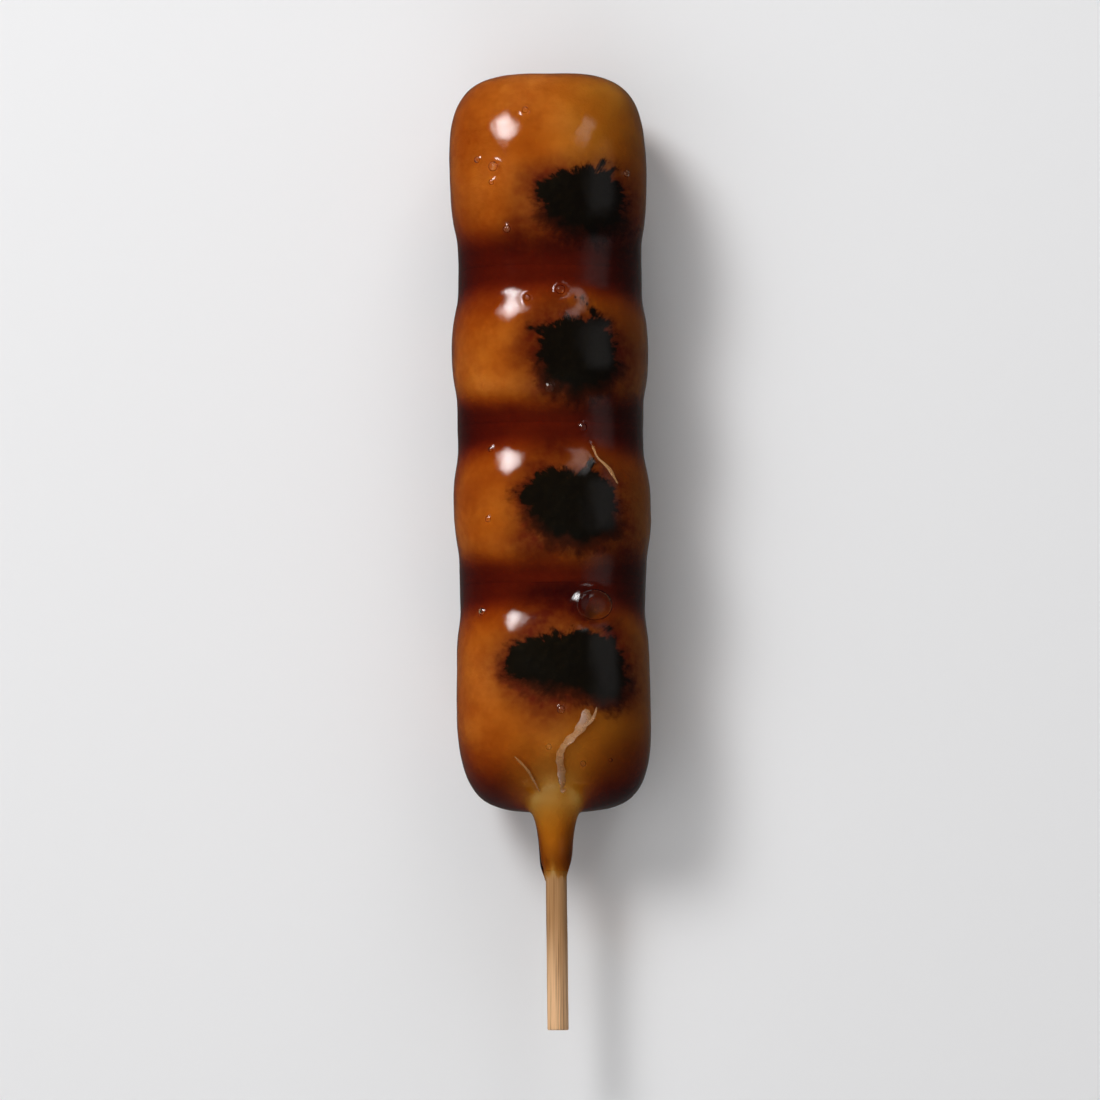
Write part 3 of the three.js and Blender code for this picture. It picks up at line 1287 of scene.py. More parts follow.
@dataclass(frozen=True)
class GrillMark:
    """A burnt patch on top of a dumpling, with brown dough round it and painted shade towards +X
    and the handle.

    Attributes:
        burnt: Outline of the burnt crust.
        browned_and_shaded: Outline of the brown dough and of the painted shade towards +X and the
            handle.
        brown_and_shade_strength: How strong that colour is, up to 1.
        seed: Gives the patch its own ragged edge.
        whiskers: Thin burnt strokes, each from one point to another, with half its width.
        blunt: How wide a whisker starts, over its width. It ends that much less 1.
        browning_and_shade_range: Distances inside that outline over which the colour comes in.
        edge_waves: Waves round the crust's edge.
        edge_height: Height that one wave round it would have, in millimetres.
    """

    burnt: Outline
    browned_and_shaded: Outline
    brown_and_shade_strength: float
    seed: int
    whiskers: tuple[tuple[Point, Point, float], ...] = ()
    blunt: float = 1.3
    browning_and_shade_range: Range = (-3.6, 1.4)
    edge_waves: tuple[int, ...] = (9, 14, 23, 31, 47)
    edge_height: float = 1.5

    def edge(self, x: np.ndarray, y: np.ndarray) -> np.ndarray:
        """Distance inside the crust's ragged edge.

        Args:
            x: Places across, in metres.
            y: Places along, in metres.

        Returns:
            Millimetres, negative outside.
        """
        px, py = x / MM, y / MM
        signed = self.burnt.depth(px, py) + self.fringe(px, py)
        for start, end, width in self.whiskers:
            gap, t = gap_to_path(px, py, start, end)
            signed = np.maximum(signed, width * (self.blunt - t) - gap)
        return signed

    def browning_and_shade(self, x: np.ndarray, y: np.ndarray) -> np.ndarray:
        """How much brown colour and painted shade the dough takes at each place, from 0 to 1."""
        return self.brown_and_shade_strength * smoothstep(*self.browning_and_shade_range, self.browned_and_shaded.depth(x / MM, y / MM))

    def ray(self, x: np.ndarray, y: np.ndarray) -> tuple[np.ndarray, np.ndarray]:
        """Direction from the crust's middle to each place, in its parts across and along."""
        turn = self.bearing(x / MM, y / MM)
        return np.cos(turn), np.sin(turn)

    def bearing(self, px: np.ndarray, py: np.ndarray) -> np.ndarray:
        """Angle from the crust's middle to each place in millimetres, from +X towards +Y."""
        centre = self.burnt.centre()
        return np.arctan2(py - centre[1], px - centre[0])

    def fringe(self, px: np.ndarray, py: np.ndarray) -> np.ndarray:
        """Waves of the crust's edge.

        Args:
            px: Places across, in millimetres.
            py: Places along, in millimetres.

        Returns:
            How far they push the edge out, in millimetres.
        """
        turn = self.bearing(px, py)
        rng = np.random.default_rng(self.seed)
        shift = np.zeros(px.shape)
        for waves in self.edge_waves:
            phase = rng.uniform(0.0, 2 * math.pi)
            shift += (self.edge_height / waves) * np.sin(waves * turn + phase)
        return shift


# Each mark's wider outline reaches past the crust towards +X and the handle, where its colour is
# painted shade.
GRILL_MARKS = (
    GrillMark(
        burnt=Outline((
            (-2.0, 49.8), (-0.5, 51.4), (1.8, 52.2), (5.3, 52.6), (7.9, 52.2), (9.5, 50.3),
            (9.9, 47.7), (9.2, 45.2), (6.8, 43.9), (3.8, 44.0), (1.1, 44.9), (-0.8, 46.5),
        )),
        browned_and_shaded=Outline((
            (-3.4, 51.6), (0.0, 52.6), (5.0, 52.9), (9.5, 52.2), (11.2, 48.0), (11.2, 42.8),
            (5.0, 42.0), (-1.0, 42.2), (-5.6, 42.6), (-5.4, 46.0), (-4.4, 49.5),
        )),
        brown_and_shade_strength=0.85,
        seed=3,
        whiskers=(((6.6, 52.4), (7.2, 53.8), 0.3), ((8.0, 51.8), (8.7, 52.9), 0.3)),
    ),
    GrillMark(
        burnt=Outline((
            (-1.2, 29.9), (1.1, 31.3), (3.8, 31.7), (6.6, 31.0), (8.4, 29.2), (8.8, 26.5),
            (8.6, 23.9), (6.1, 21.9), (3.4, 21.4), (0.7, 22.3), (-1.2, 24.1), (-1.7, 26.9),
        )),
        browned_and_shaded=Outline((
            (-3.8, 29.5), (-1.6, 32.4), (1.2, 33.6), (4.0, 32.6), (8.5, 31.0), (11.0, 27.0),
            (11.0, 20.6), (6.0, 19.6), (0.0, 20.6), (-2.4, 21.8), (-3.8, 25.0),
        )),
        brown_and_shade_strength=0.85,
        seed=7,
        whiskers=(((7.2, 30.6), (4.3, 34.2), 0.65), ((-1.2, 29.4), (-2.8, 30.4), 0.3)),
    ),
    GrillMark(
        burnt=Outline((
            (-3.4, 8.4), (-1.6, 10.1), (1.5, 10.6), (3.2, 9.6), (4.9, 10.6), (7.1, 9.3),
            (8.4, 7.6), (9.0, 4.7), (8.6, 2.3), (5.3, 0.5), (1.8, 0.7), (-0.5, 1.7),
            (-2.4, 3.6), (-4.2, 6.2),
        )),
        browned_and_shaded=Outline((
            (-4.1, 8.8), (-3.0, 12.2), (-0.6, 14.4), (1.6, 13.6), (3.4, 11.4), (8.0, 10.6),
            (11.0, 7.0), (11.2, -1.6), (6.0, -1.6), (1.0, -1.2), (-4.0, -1.0), (-4.7, 3.0),
        )),
        brown_and_shade_strength=0.85,
        seed=11,
        whiskers=(((-3.8, 6.6), (-5.0, 7.2), 0.3), ((4.9, 10.4), (5.6, 11.8), 0.35)),
    ),
    GrillMark(
        burnt=Outline((
            (-5.6, -14.5), (-3.9, -13.5), (-0.8, -12.8), (3.0, -12.2), (6.8, -12.4),
            (9.2, -14.5), (10.1, -18.0), (9.9, -20.9), (8.4, -21.8), (5.3, -21.0),
            (3.0, -20.2), (-0.5, -19.8), (-3.5, -19.2), (-5.8, -17.9), (-6.5, -16.2),
        )),
        browned_and_shaded=Outline((
            (-6.8, -14.5), (-4.6, -11.6), (-4.2, -8.0), (-2.0, -6.0), (3.2, -6.0),
            (4.4, -9.0), (9.0, -11.6), (11.2, -16.0), (11.0, -21.2), (8.6, -22.2),
            (4.4, -22.4), (2.0, -23.2), (-1.5, -23.4), (-4.8, -21.6), (-6.6, -19.4),
            (-7.4, -16.6),
        )),
        brown_and_shade_strength=0.9,
        seed=19,
        whiskers=(((7.4, -12.6), (8.4, -11.2), 0.3),),
    ),
)


# ---- pieces


@dataclass
class RiceDumpling:
    """One grilled dumpling inside its coat of sauce.

    Attributes:
        form: The skewer's form.
        index: Which dumpling it is, from 0 at the tip.
        mark: Its grill mark.
        films: Thickness of the sauce over each dumpling's crown, from the tip.
        exponent: How square its section is.
        tip_bellies: How square each dumpling is towards the tip, where the next one presses on it.
        handle_bellies: How square each is towards the handle.
        contact: Share of its section that presses flat on the next one.
        contact_blend: Rounding between belly and contact, as a share.
        lip: Depth and length of the rounded edge of that contact.
        overlap: How far neighbours sink into each other there.
        end_exponent: How square the last dumpling's handle end is.
        end_film: Thickness of the sauce beyond that end.
        skirt_film: Thickness of the sauce over the dough drawn out along the stick there.
        skirt_growth: How much thicker it is where that dough ends, in multiples of itself.
        skirt_close: Share of the way after which that dough closes in on the stick.
        skirt_cut: How far short of the collar's end that dough stops.
        end_passes: How often the corner between end and drawn dough is smoothed.
        sides: Points in each ring.
        step: Distance between rings.
        lump: Height of the dough's soft lumps.
        lump_size: Their width.
        crust: How far the burnt crust stands proud.
        crust_edge: Distances inside the mark over which it rises, in millimetres.
        crust_grain: Width of its grains.
        crust_heights: Its even height, and what the grains add, as shares of the crust.
        contact_fade: Length over which lumps and crust fade before a neighbour.
        pole_fade: Shares of the section between which they fade at the stick.
        floor_film: Thickness of the sauce under the dumpling.
        floor_least: Least height of the dough above the floor.
        floor_ease: Rounding at the edge of its flat underside.
        clearance: Space left round the stick.
        bore_step: Distance between the bore's rings.
    """

    form: SkewerForm
    index: int
    mark: GrillMark
    films: tuple[float, ...] = (0.5 * MM, 0.5 * MM, 0.47 * MM, 0.37 * MM)
    exponent: float = 2.44
    tip_bellies: tuple[float, ...] = (2.4, 2.4, 2.5, 2.5)
    handle_bellies: tuple[float, ...] = (2.6, 3.2, 3.0, 3.0)
    contact: Turning = Turning(0.84, 0.80)
    contact_blend: float = 0.12
    lip: Point = (0.03, 0.4 * MM)
    overlap: float = 0.6 * MM
    end_exponent: Lopsided = Lopsided(Turning(4.0, 2.6), Turning(3.8, 2.6))
    end_film: Lopsided = Lopsided(Turning(1.9 * MM, 0.2 * MM), Turning(2.4 * MM, 0.2 * MM))
    skirt_film: float = 0.14 * MM
    skirt_growth: float = 10.0
    skirt_close: float = 0.45
    skirt_cut: float = 1.5 * MM
    end_passes: int = 24
    sides: int = 220
    step: float = 0.36 * MM
    lump: float = 0.19 * MM
    lump_size: float = 6.0 * MM
    crust: float = 0.2 * MM
    crust_edge: Range = (-0.4, 1.2)
    crust_grain: float = 0.9 * MM
    crust_heights: Range = (0.45, 0.75)
    contact_fade: float = 1.6 * MM
    pole_fade: Range = (0.14, 0.4)
    floor_film: float = 0.75 * MM
    floor_least: float = 0.3 * MM
    floor_ease: float = 0.6 * MM
    clearance: float = 0.03 * MM
    bore_step: float = 2.0 * MM

    @property
    def is_tip(self) -> bool:
        """True for the dumpling that hides the stick's point."""
        return self.index == 0

    @property
    def is_last(self) -> bool:
        """True for the dumpling next to the handle."""
        return self.index == len(self.form.places) - 1

    @property
    def place(self) -> Place:
        """Where this dumpling lies."""
        return self.form.places[self.index]

    @property
    def bore(self) -> float:
        """Radius of the hole that the stick fills."""
        return self.form.stick_radius + self.clearance

    def section(self) -> Section:
        """Its own section, inside the skin of sauce.

        Returns:
            The section.
        """
        skin = self.form.skin
        widths = tuple(value - film for value, film in zip(skin.half_widths, self.films))
        heights = tuple(value - film for value, film in zip(skin.half_heights, self.films))
        return Section(widths, heights, self.exponent)

    def pressed(self, direction: int) -> Profile:
        """The side that another dumpling presses on, from the middle to the bore.

        Args:
            direction: 1 towards the tip, -1 towards the handle.

        Returns:
            The profile.
        """
        length = (self.place.far if direction > 0 else self.place.near) + self.overlap
        run = np.linspace(0.0, length, SIDE_POINTS)[:, None]
        belly = (self.tip_bellies if direction > 0 else self.handle_bellies)[self.index]
        contact = self.contact.at(ring_angles(self.sides))
        share = smooth_max(superellipse(run / length, belly), contact, self.contact_blend)
        drop, width = self.lip
        edge = np.clip((run - (length - width - self.overlap)) / (width + self.overlap), 0.0, 1.0)
        share = share - drop * edge**2
        bore = self.bore / self.form.mean_radius
        inwards = np.linspace(share[-1], bore, SHORT_POINTS)[1:]
        y = np.concatenate([np.broadcast_to(run, share.shape), np.full(inwards.shape, length)])
        return Profile(np.concatenate([share, inwards]), self.place.middle + direction * y)

    def free_tip(self) -> Profile:
        """The free end of the first dumpling, from the middle to the end.

        Returns:
            The profile.
        """
        angle = ring_angles(self.sides)
        turns = np.linspace(0.0, QUARTER_TURN, SIDE_POINTS)[:-1, None]
        exponent = self.form.tip_exponent.at(angle)
        share, along = quadrant(turns, self.place.far - self.films[0], exponent)
        return Profile(share, self.place.middle + along)

    def free_end(self) -> Profile:
        """The last dumpling's end, drawn out along the stick, from the middle to the bore.

        Returns:
            The profile.
        """
        form, angle = self.form, ring_angles(self.sides)
        reach = self.place.near + form.end_cover.at(angle) - self.end_film.at(angle)
        film, bore = self.skirt_film / form.mean_radius, self.bore / form.mean_radius
        skirt = form.collar_share(self.place.middle - reach) - film
        end = rounded_end(self.place, reach, self.end_exponent.at(angle), skirt)
        run = np.linspace(0.0, 1.0, SHORT_POINTS)[1:, None]
        y = end.y[-1] + (form.collar_end + self.skirt_cut - end.y[-1]) * run
        thickened = film * (1.0 + self.skirt_growth * run)
        drawn = np.maximum(form.collar_share(y) - thickened, bore)
        drawn = drawn + (bore - drawn) * smoothstep(self.skirt_close, 1.0, run)
        return Profile(np.concatenate([end.share, drawn]), np.concatenate([end.y, y]))

    def outer_profile(self) -> Profile:
        """The dumpling's outside, from its tip side to its handle side.

        Returns:
            The profile.
        """
        scale = self.form.mean_radius
        far = self.free_tip() if self.is_tip else self.pressed(1)
        near = self.free_end() if self.is_last else self.pressed(-1)
        far, near = far.spaced(self.step, scale), near.spaced(self.step, scale)
        if self.is_last:
            near = near.eased(self.end_passes)
        whole = Profile(far.share[::-1], far.y[::-1]).then(near)
        return whole.pointed() if self.is_tip else whole

    def build(self, material: bpy.types.Material) -> None:
        """Makes the dumpling and mounts it.

        Args:
            material: Its finish.
        """
        form, angle, outer = self.form, ring_angles(self.sides), self.outer_profile()
        radius = form.radius(self.section(), outer.y, angle, outer.share)
        even = form.points(outer.y, angle, radius)
        x, y, normals = even[..., 0], even[..., 1], ring_normals(even)
        grilled = normals[..., 2] > UPWARDS
        edge = np.where(grilled, self.mark.edge(x, y), FAR_OUTSIDE)
        rings = even + normals * self.relief(even, outer, edge)[..., None]
        self.flatten_underside(rings)
        across, along = self.mark.ray(rings[..., 0], rings[..., 1])
        inner = self.bore_rings(float(outer.y[-1, 0]), float(outer.y[0, 0]))
        points = np.concatenate([rings, inner]).reshape(-1, 3)
        # Each attribute with its value inside the bore, where it doesn't show.
        shown = {
            "char_edge": (edge, FAR_OUTSIDE),
            # Brown dough and painted shade round the grill mark.
            "browning_and_shade": (self.mark.browning_and_shade(x, y) * grilled, 0.0),
            "mark_across": (across, 0.0),
            "mark_along": (along, 1.0),
            "sauce_depth": (self.sauce_depth(outer, radius), 0.0),
        }
        values = {
            key: np.concatenate([value, np.full(inner.shape[:2], hidden)]).ravel()
            for key, (value, hidden) in shown.items()
        }
        if self.is_tip:
            ends = form.on_axis(form.tip - self.films[0], form.stick_tip)
            points = np.concatenate([points, ends])
            values = {key: np.append(value, [value[0], value[-1]]) for key, value in values.items()}
        faces = ring_faces(len(rings) + len(inner), self.sides, closed=not self.is_tip)
        piece = make_piece(f"rice_{self.index + 1}", points, faces, values)
        mount_piece(piece, material, Slot.RICE, f"dango_{self.index + 1}")

    def sauce_depth(self, outer: Profile, radius: np.ndarray) -> np.ndarray:
        """Thickness of the sauce over the dough.

        Args:
            outer: The dumpling's outside.
            radius: Its distance from the stick's axis.

        Returns:
            Millimetres at each point.
        """
        form, angle = self.form, ring_angles(self.sides)
        skin = form.radius(form.skin, outer.y, angle, form.skin_share(outer.y, angle))
        free = self.is_tip & (outer.y > self.place.middle)
        return np.where(free, np.minimum(skin - radius, self.films[0]), skin - radius) / MM

    def flatten_underside(self, rings: np.ndarray) -> None:
        """Flattens the underside, where the dumpling rests on the sauce under it.

        Args:
            rings: The dumpling's rings, which change in place.
        """
        floor = self.form.axis_height - self.form.skin.half_heights[self.index] + self.floor_film
        low = np.full(rings.shape[:2], max(floor, self.floor_least))
        rings[..., 2] = smooth_max(rings[..., 2], low, self.floor_ease)

    def relief(self, rings: np.ndarray, outer: Profile, edge: np.ndarray) -> np.ndarray:
        """Height of the dough's lumps and of the burnt crust, none where neighbours touch.

        Args:
            rings: The dumpling's even rings.
            outer: The profile that they come from.
            edge: Millimetres inside the crust's edge.

        Returns:
            The height at each point.
        """
        lumps = self.lump * fractal(rings, self.lump_size, Seed.LUMPS + self.index, 2)
        burnt = smoothstep(*self.crust_edge, edge)
        even, grainy = self.crust_heights
        grains = fractal(rings, self.crust_grain, Seed.CRUST, 3)
        height = lumps + self.crust * burnt * (even + grainy * grains)
        if not self.is_tip:
            ahead = self.place.middle + self.place.far - outer.y
            height = height * smoothstep(0.0, self.contact_fade, ahead)
        if not self.is_last:
            behind = outer.y - self.place.middle + self.place.near
            height = height * smoothstep(0.0, self.contact_fade, behind)
        return height * smoothstep(*self.pole_fade, outer.share)

    def bore_rings(self, start: float, end: float) -> np.ndarray:
        """Rings of the stick's bore.

        Args:
            start: Where the bore opens, on the handle side.
            end: Where the dumpling ends, on the tip side.

        Returns:
            The rings as an array of (rings, sides, 3).
        """
        if self.is_tip:
            end = self.form.stick_tip - 0.5 * self.bore_step
        count = max(3, round(abs(end - start) / self.bore_step))
        y = np.linspace(start, end, count)[:, None]
        return self.form.points(y, ring_angles(self.sides), np.full((count, self.sides), self.bore))


@dataclass(frozen=True)
class Bubble:
    """An air bubble in the sauce. Its sizes are millimetres.

    Attributes:
        x: Place across.
        y: Place along.
        width: Its width across.
        stretch: Its length along over its width.
        flatness: Its thickness over its width.
        large: Width from which it counts as large.
        thickest: The most that a small and a large one measure through.
    """

    x: float
    y: float
    width: float
    stretch: float = 1.0
    flatness: float = 0.62
    large: float = 2.0
    thickest: Range = (0.8, 1.1)

    @property
    def thickness(self) -> float:
        """Its thickness, in metres."""
        return min(self.flatness * self.width, self.thickest[self.width >= self.large]) * MM


BUBBLES = (
    Bubble(5.8, -8.4, 5.4, 0.8),
    Bubble(-8.1, 53.0, 1.4),
    Bubble(-8.4, 50.8, 0.8),
    Bubble(-10.4, 54.1, 0.9),
    Bubble(-3.7, 61.0, 0.9),
    Bubble(-6.2, 44.2, 1.1),
    Bubble(1.2, 35.6, 1.3),
    Bubble(-3.4, 34.4, 0.9),
    Bubble(10.4, 52.2, 1.0),
    Bubble(-0.3, 21.8, 1.3),
    Bubble(4.4, 16.4, 1.0),
    Bubble(-8.5, 13.4, 0.7),
    Bubble(-8.8, 3.6, 0.9),
    Bubble(-9.6, -9.2, 1.0),
    Bubble(1.3, -23.0, 1.1),
    Bubble(-0.4, -28.1, 0.8),
    Bubble(4.4, -30.4, 0.8),
    Bubble(8.2, -29.9, 0.6),
)


@dataclass(frozen=True)
class PlacedBubble:
    """A bubble where it lies in the sauce, with the dome that it pushes up.

    Attributes:
        bubble: The bubble.
        centre: Its middle.
        out: The way out from the stick there.
        dome: How far the skin rises over it.
        dome_width: The dome's width over the bubble's.
        dome_foot: Half widths from the bubble's middle within which the skin rises.
        dome_depth: How far below the middle the skin still counts as over it.
        turns: Points in each ring of the hollow.
        rows: Steps from its outer to its inner end.
    """

    bubble: Bubble
    centre: np.ndarray
    out: np.ndarray
    dome: float
    dome_width: float = 1.05
    dome_foot: float = 4.0
    dome_depth: float = 3.0 * MM
    turns: int = 28
    rows: int = 14

    @property
    def half_width(self) -> float:
        """Half its width."""
        return self.bubble.width * MM / 2

    @property
    def side(self) -> np.ndarray:
        """The way across the skewer on the skin there."""
        return np.cross(self.out, (0.0, 1.0, 0.0))

    def rise(self, rings: np.ndarray) -> np.ndarray:
        """How far the skin is pushed out over the bubble.

        Args:
            rings: Places on the skin.

        Returns:
            The height at each place.
        """
        offset = rings - self.centre
        gap = np.hypot(offset @ self.side, offset[..., 1] / self.bubble.stretch)
        above = offset @ self.out > -self.dome_depth
        near = above & (gap < self.dome_foot * self.half_width)
        bell = np.exp(-((gap / (self.dome_width * self.half_width)) ** 4))
        return np.where(near, self.dome * bell, 0.0)

    def hollow(self) -> tuple[np.ndarray, Faces]:
        """The bubble's own surface, whose faces point into the air inside.

        Returns:
            Its points and its faces.
        """
        lat = np.linspace(0, math.pi, self.rows + 1)[1:-1, None, None]
        lon = ring_angles(self.turns)[0][None, :, None]
        thick = self.bubble.thickness / 2
        ahead = np.cross(self.out, self.side) * self.bubble.stretch
        ring = np.sin(lat) * (np.cos(lon) * self.side + np.sin(lon) * ahead)
        shell = self.centre + self.half_width * ring + thick * np.cos(lat) * self.out
        ends = self.centre + thick * np.array([self.out, -self.out])
        return capped(shell, ends)


@dataclass(frozen=True)
class SauceRidge:
    """A raised string of sauce on the skin, with a pale thread in it that is a painted highlight.

    Attributes:
        thread: Name of the thread's piece.
        node: The node whose sauce holds it.
        path: Its corners in millimetres, (across, along) from the middle.
        widths: Half its width at each corner, in millimetres.
        height: How far it stands up, in millimetres.
        thread_rise: How far the thread's middle stands above the even skin, in millimetres.
    """

    thread: str
    node: str
    path: tuple[Point, ...]
    widths: tuple[float, ...]
    height: float
    thread_rise: float

    def at(self, rings: np.ndarray) -> np.ndarray:
        """Its height at each place.

        Args:
            rings: Places on the skin.

        Returns:
            The height in metres.
        """
        x, y = rings[..., 0] / MM, rings[..., 1] / MM
        height = np.zeros(x.shape)
        for a, b, wide, narrow in zip(self.path, self.path[1:], self.widths, self.widths[1:]):
            gap, t = gap_to_path(x, y, a, b)
            height = np.maximum(height, np.exp(-((gap / (wide + (narrow - wide) * t)) ** 2)))
        return self.height * MM * height


SAUCE_RIDGES = (
    SauceRidge(
        thread="highlight_run",
        node="sauce_end",
        path=(
            (4.7, -22.9), (5.0, -24.4), (4.2, -25.6), (1.8, -27.8), (1.1, -29.4), (1.3, -31.6),
            (1.6, -34.4),
        ),
        widths=(0.9, 2.3, 1.3, 0.8, 1.3, 1.1, 0.9),
        height=0.16,
        thread_rise=-0.02,
    ),
    SauceRidge(
        thread="highlight_hook",
        node="sauce_end",
        path=((4.4, -25.4), (5.7, -24.6), (6.3, -22.6)),
        widths=(0.5, 0.5, 0.3),
        height=0.12,
        thread_rise=-0.02,
    ),
    SauceRidge(
        thread="highlight_hair",
        node="sauce_end",
        path=((-5.2, -29.4), (-3.4, -31.2), (-1.7, -34.2)),
        widths=(0.3, 0.4, 0.3),
        height=0.14,
        thread_rise=-0.08,
    ),
    SauceRidge(
        thread="highlight_wisp",
        node="sauce_neck_2",
        path=((5.6, 13.9), (6.4, 12.0), (7.9, 10.8), (9.2, 8.5)),
        widths=(0.4, 0.3, 0.5, 0.3),
        height=0.25,
        thread_rise=0.02,
    ),
)


@dataclass
class SauceGlaze:
    """One closed body of sauce round all four dumplings and the start of the stick.

    Attributes:
        form: The skewer's form.
        sides: Points in each ring.
        step: Distance between rings.
        passes: How often the joins between its stretches are smoothed.
        wave: Height of the sauce's slow waves.
        wave_size: Their width.
        ripple: Height of its finer ripples.
        ripple_size: Their width.
        relief_fade: Shares of the section between which waves and ripples fade at the stick.
        ridge_side: Least Z of a normal where a ridge stands.
        ragged: How unevenly the collar ends.
        tongues: Waves round the collar's end, each with where it starts.
        taper: Length over which the collar thins out to nothing.
        rim: Thickness of the sauce at the collar's end.
        floor_ease: Rounding at the edge of its flat underside.
        dome: How far a bubble pushes the skin up, over its thickness.
        cover: Thickness of the sauce over a bubble.
    """

    form: SkewerForm
    sides: int = 236
    step: float = 0.38 * MM
    passes: int = 6
    wave: float = 0.13 * MM
    wave_size: float = 8.0 * MM
    ripple: float = 0.04 * MM
    ripple_size: float = 2.6 * MM
    relief_fade: Range = (0.14, 0.5)
    ridge_side: float = 0.1
    ragged: float = 1.6 * MM
    tongues: tuple[tuple[int, float], ...] = ((7, 1.0), (3, 2.0))
    taper: float = 2.2 * MM
    rim: float = 0.05 * MM
    floor_ease: float = 0.25 * MM
    dome: float = 0.85
    cover: float = 0.14 * MM

    def profile(self) -> Profile:
        """The skin's rings from the tip to the collar's end.

        Returns:
            The profile.
        """
        form, angle = self.form, ring_angles(self.sides)
        first, last = form.places[0], form.places[-1]
        turns = np.linspace(QUARTER_TURN, 0.0, ARC_POINTS)[:, None]
        share, along = quadrant(turns, first.far, form.tip_exponent.at(angle))
        tip = Profile(share, first.middle + along)
        y = np.linspace(first.middle, last.middle, GROOVE_POINTS)[:, None]
        y = np.broadcast_to(y, (GROOVE_POINTS, self.sides))
        between = Profile(form.skin_share(y, angle), y)
        reach = last.near + form.end_cover.at(angle)
        lip = form.collar_share(last.middle - reach)
        end = rounded_end(last, reach, form.end_exponent.at(angle), lip)
        whole = tip.spaced(self.step, form.mean_radius)
        for part in (between, end, self.collar(end.y[-1])):
            whole = whole.then(part.spaced(self.step, form.mean_radius))
        return whole.eased(self.passes).pointed()

    def collar(self, start: np.ndarray) -> Profile:
        """The skin of the sauce that runs down onto the stick.

        Args:
            start: Where it leaves the dumpling's end, at each angle.

        Returns:
            The profile.
        """
        form, angle = self.form, ring_angles(self.sides)
        # From 0 to 1 round the stick.
        ragged = 0.5 + sum(0.25 * np.sin(waves * angle + turn) for waves, turn in self.tongues)
        stop = form.collar_end + self.ragged * ragged
        run = np.linspace(0.0, 1.0, SIDE_POINTS)[:, None]
        y = start + (stop - start) * run
        thin = smoothstep(-self.taper, 0.0, stop - y)
        share = form.collar_share(y)
        end_share = (form.stick_radius + self.rim) / form.mean_radius
        return Profile(share + (end_share - share) * thin, y)

    def build(self, material: bpy.types.Material) -> None:
        """Makes the sauce and mounts it.

        Args:
            material: Its finish.
        """
        form, angle = self.form, ring_angles(self.sides)
        skin = self.profile()
        radius = form.radius(form.skin, skin.y, angle, skin.share)
        rings = form.points(skin.y, angle, radius)
        normals = ring_normals(rings)
        rings = rings + normals * self.relief(rings, skin.share, normals[..., 2])[..., None]
        bubbles = [self.placed(bubble) for bubble in BUBBLES]
        domes = np.max([bubble.rise(rings) for bubble in bubbles], axis=0)
        rings = rings + normals * domes[..., None]
        rings[..., 2] = smooth_max(rings[..., 2], np.zeros(rings.shape[:2]), self.floor_ease)
        points, faces = capped(rings, form.on_axis(form.tip, form.collar_end))
        for bubble in bubbles:
            shell, shape = bubble.hollow()
            faces += [tuple(len(points) + i for i in face) for face in shape]
            points = np.concatenate([points, shell])
        nodes = ("sauce_neck_1", "sauce_neck_2", "sauce_neck_3", "sauce_end")
        mount_piece(make_piece("glaze", points, faces), material, Slot.SAUCE, *nodes)

    def relief(self, rings: np.ndarray, share: np.ndarray, upwards: np.ndarray) -> np.ndarray:
        """Height of the sauce's waves, ripples and ridges.

        Args:
            rings: The even skin.
            share: Its share of the section.
            upwards: Z of its normals.

        Returns:
            The height at each point.
        """
        waves = self.wave * fractal(rings, self.wave_size, Seed.WAVES, 1)
        waves += self.ripple * fractal(rings, self.ripple_size, Seed.RIPPLES, 1)
        waves *= smoothstep(*self.relief_fade, share)
        ridges = np.max([ridge.at(rings) for ridge in SAUCE_RIDGES], axis=0)
        return waves + np.where(upwards > self.ridge_side, ridges, 0.0)

    def placed(self, bubble: Bubble) -> PlacedBubble:
        """Finds where a bubble lies under the skin.

        Args:
            bubble: The bubble.

        Returns:
            The bubble in its place.
        """
        form, y = self.form, np.array(bubble.y * MM)
        angle = np.array(form.angle_above(bubble.x * MM, bubble.y * MM))
        skin = float(form.radius(form.skin, y, angle, form.skin_share(y, angle)))
        dome = self.dome * bubble.thickness
        depth = skin + dome - self.cover - bubble.thickness / 2
        centre = form.points(y, angle, np.array(depth))
        return PlacedBubble(bubble, centre, outwards(angle), dome)


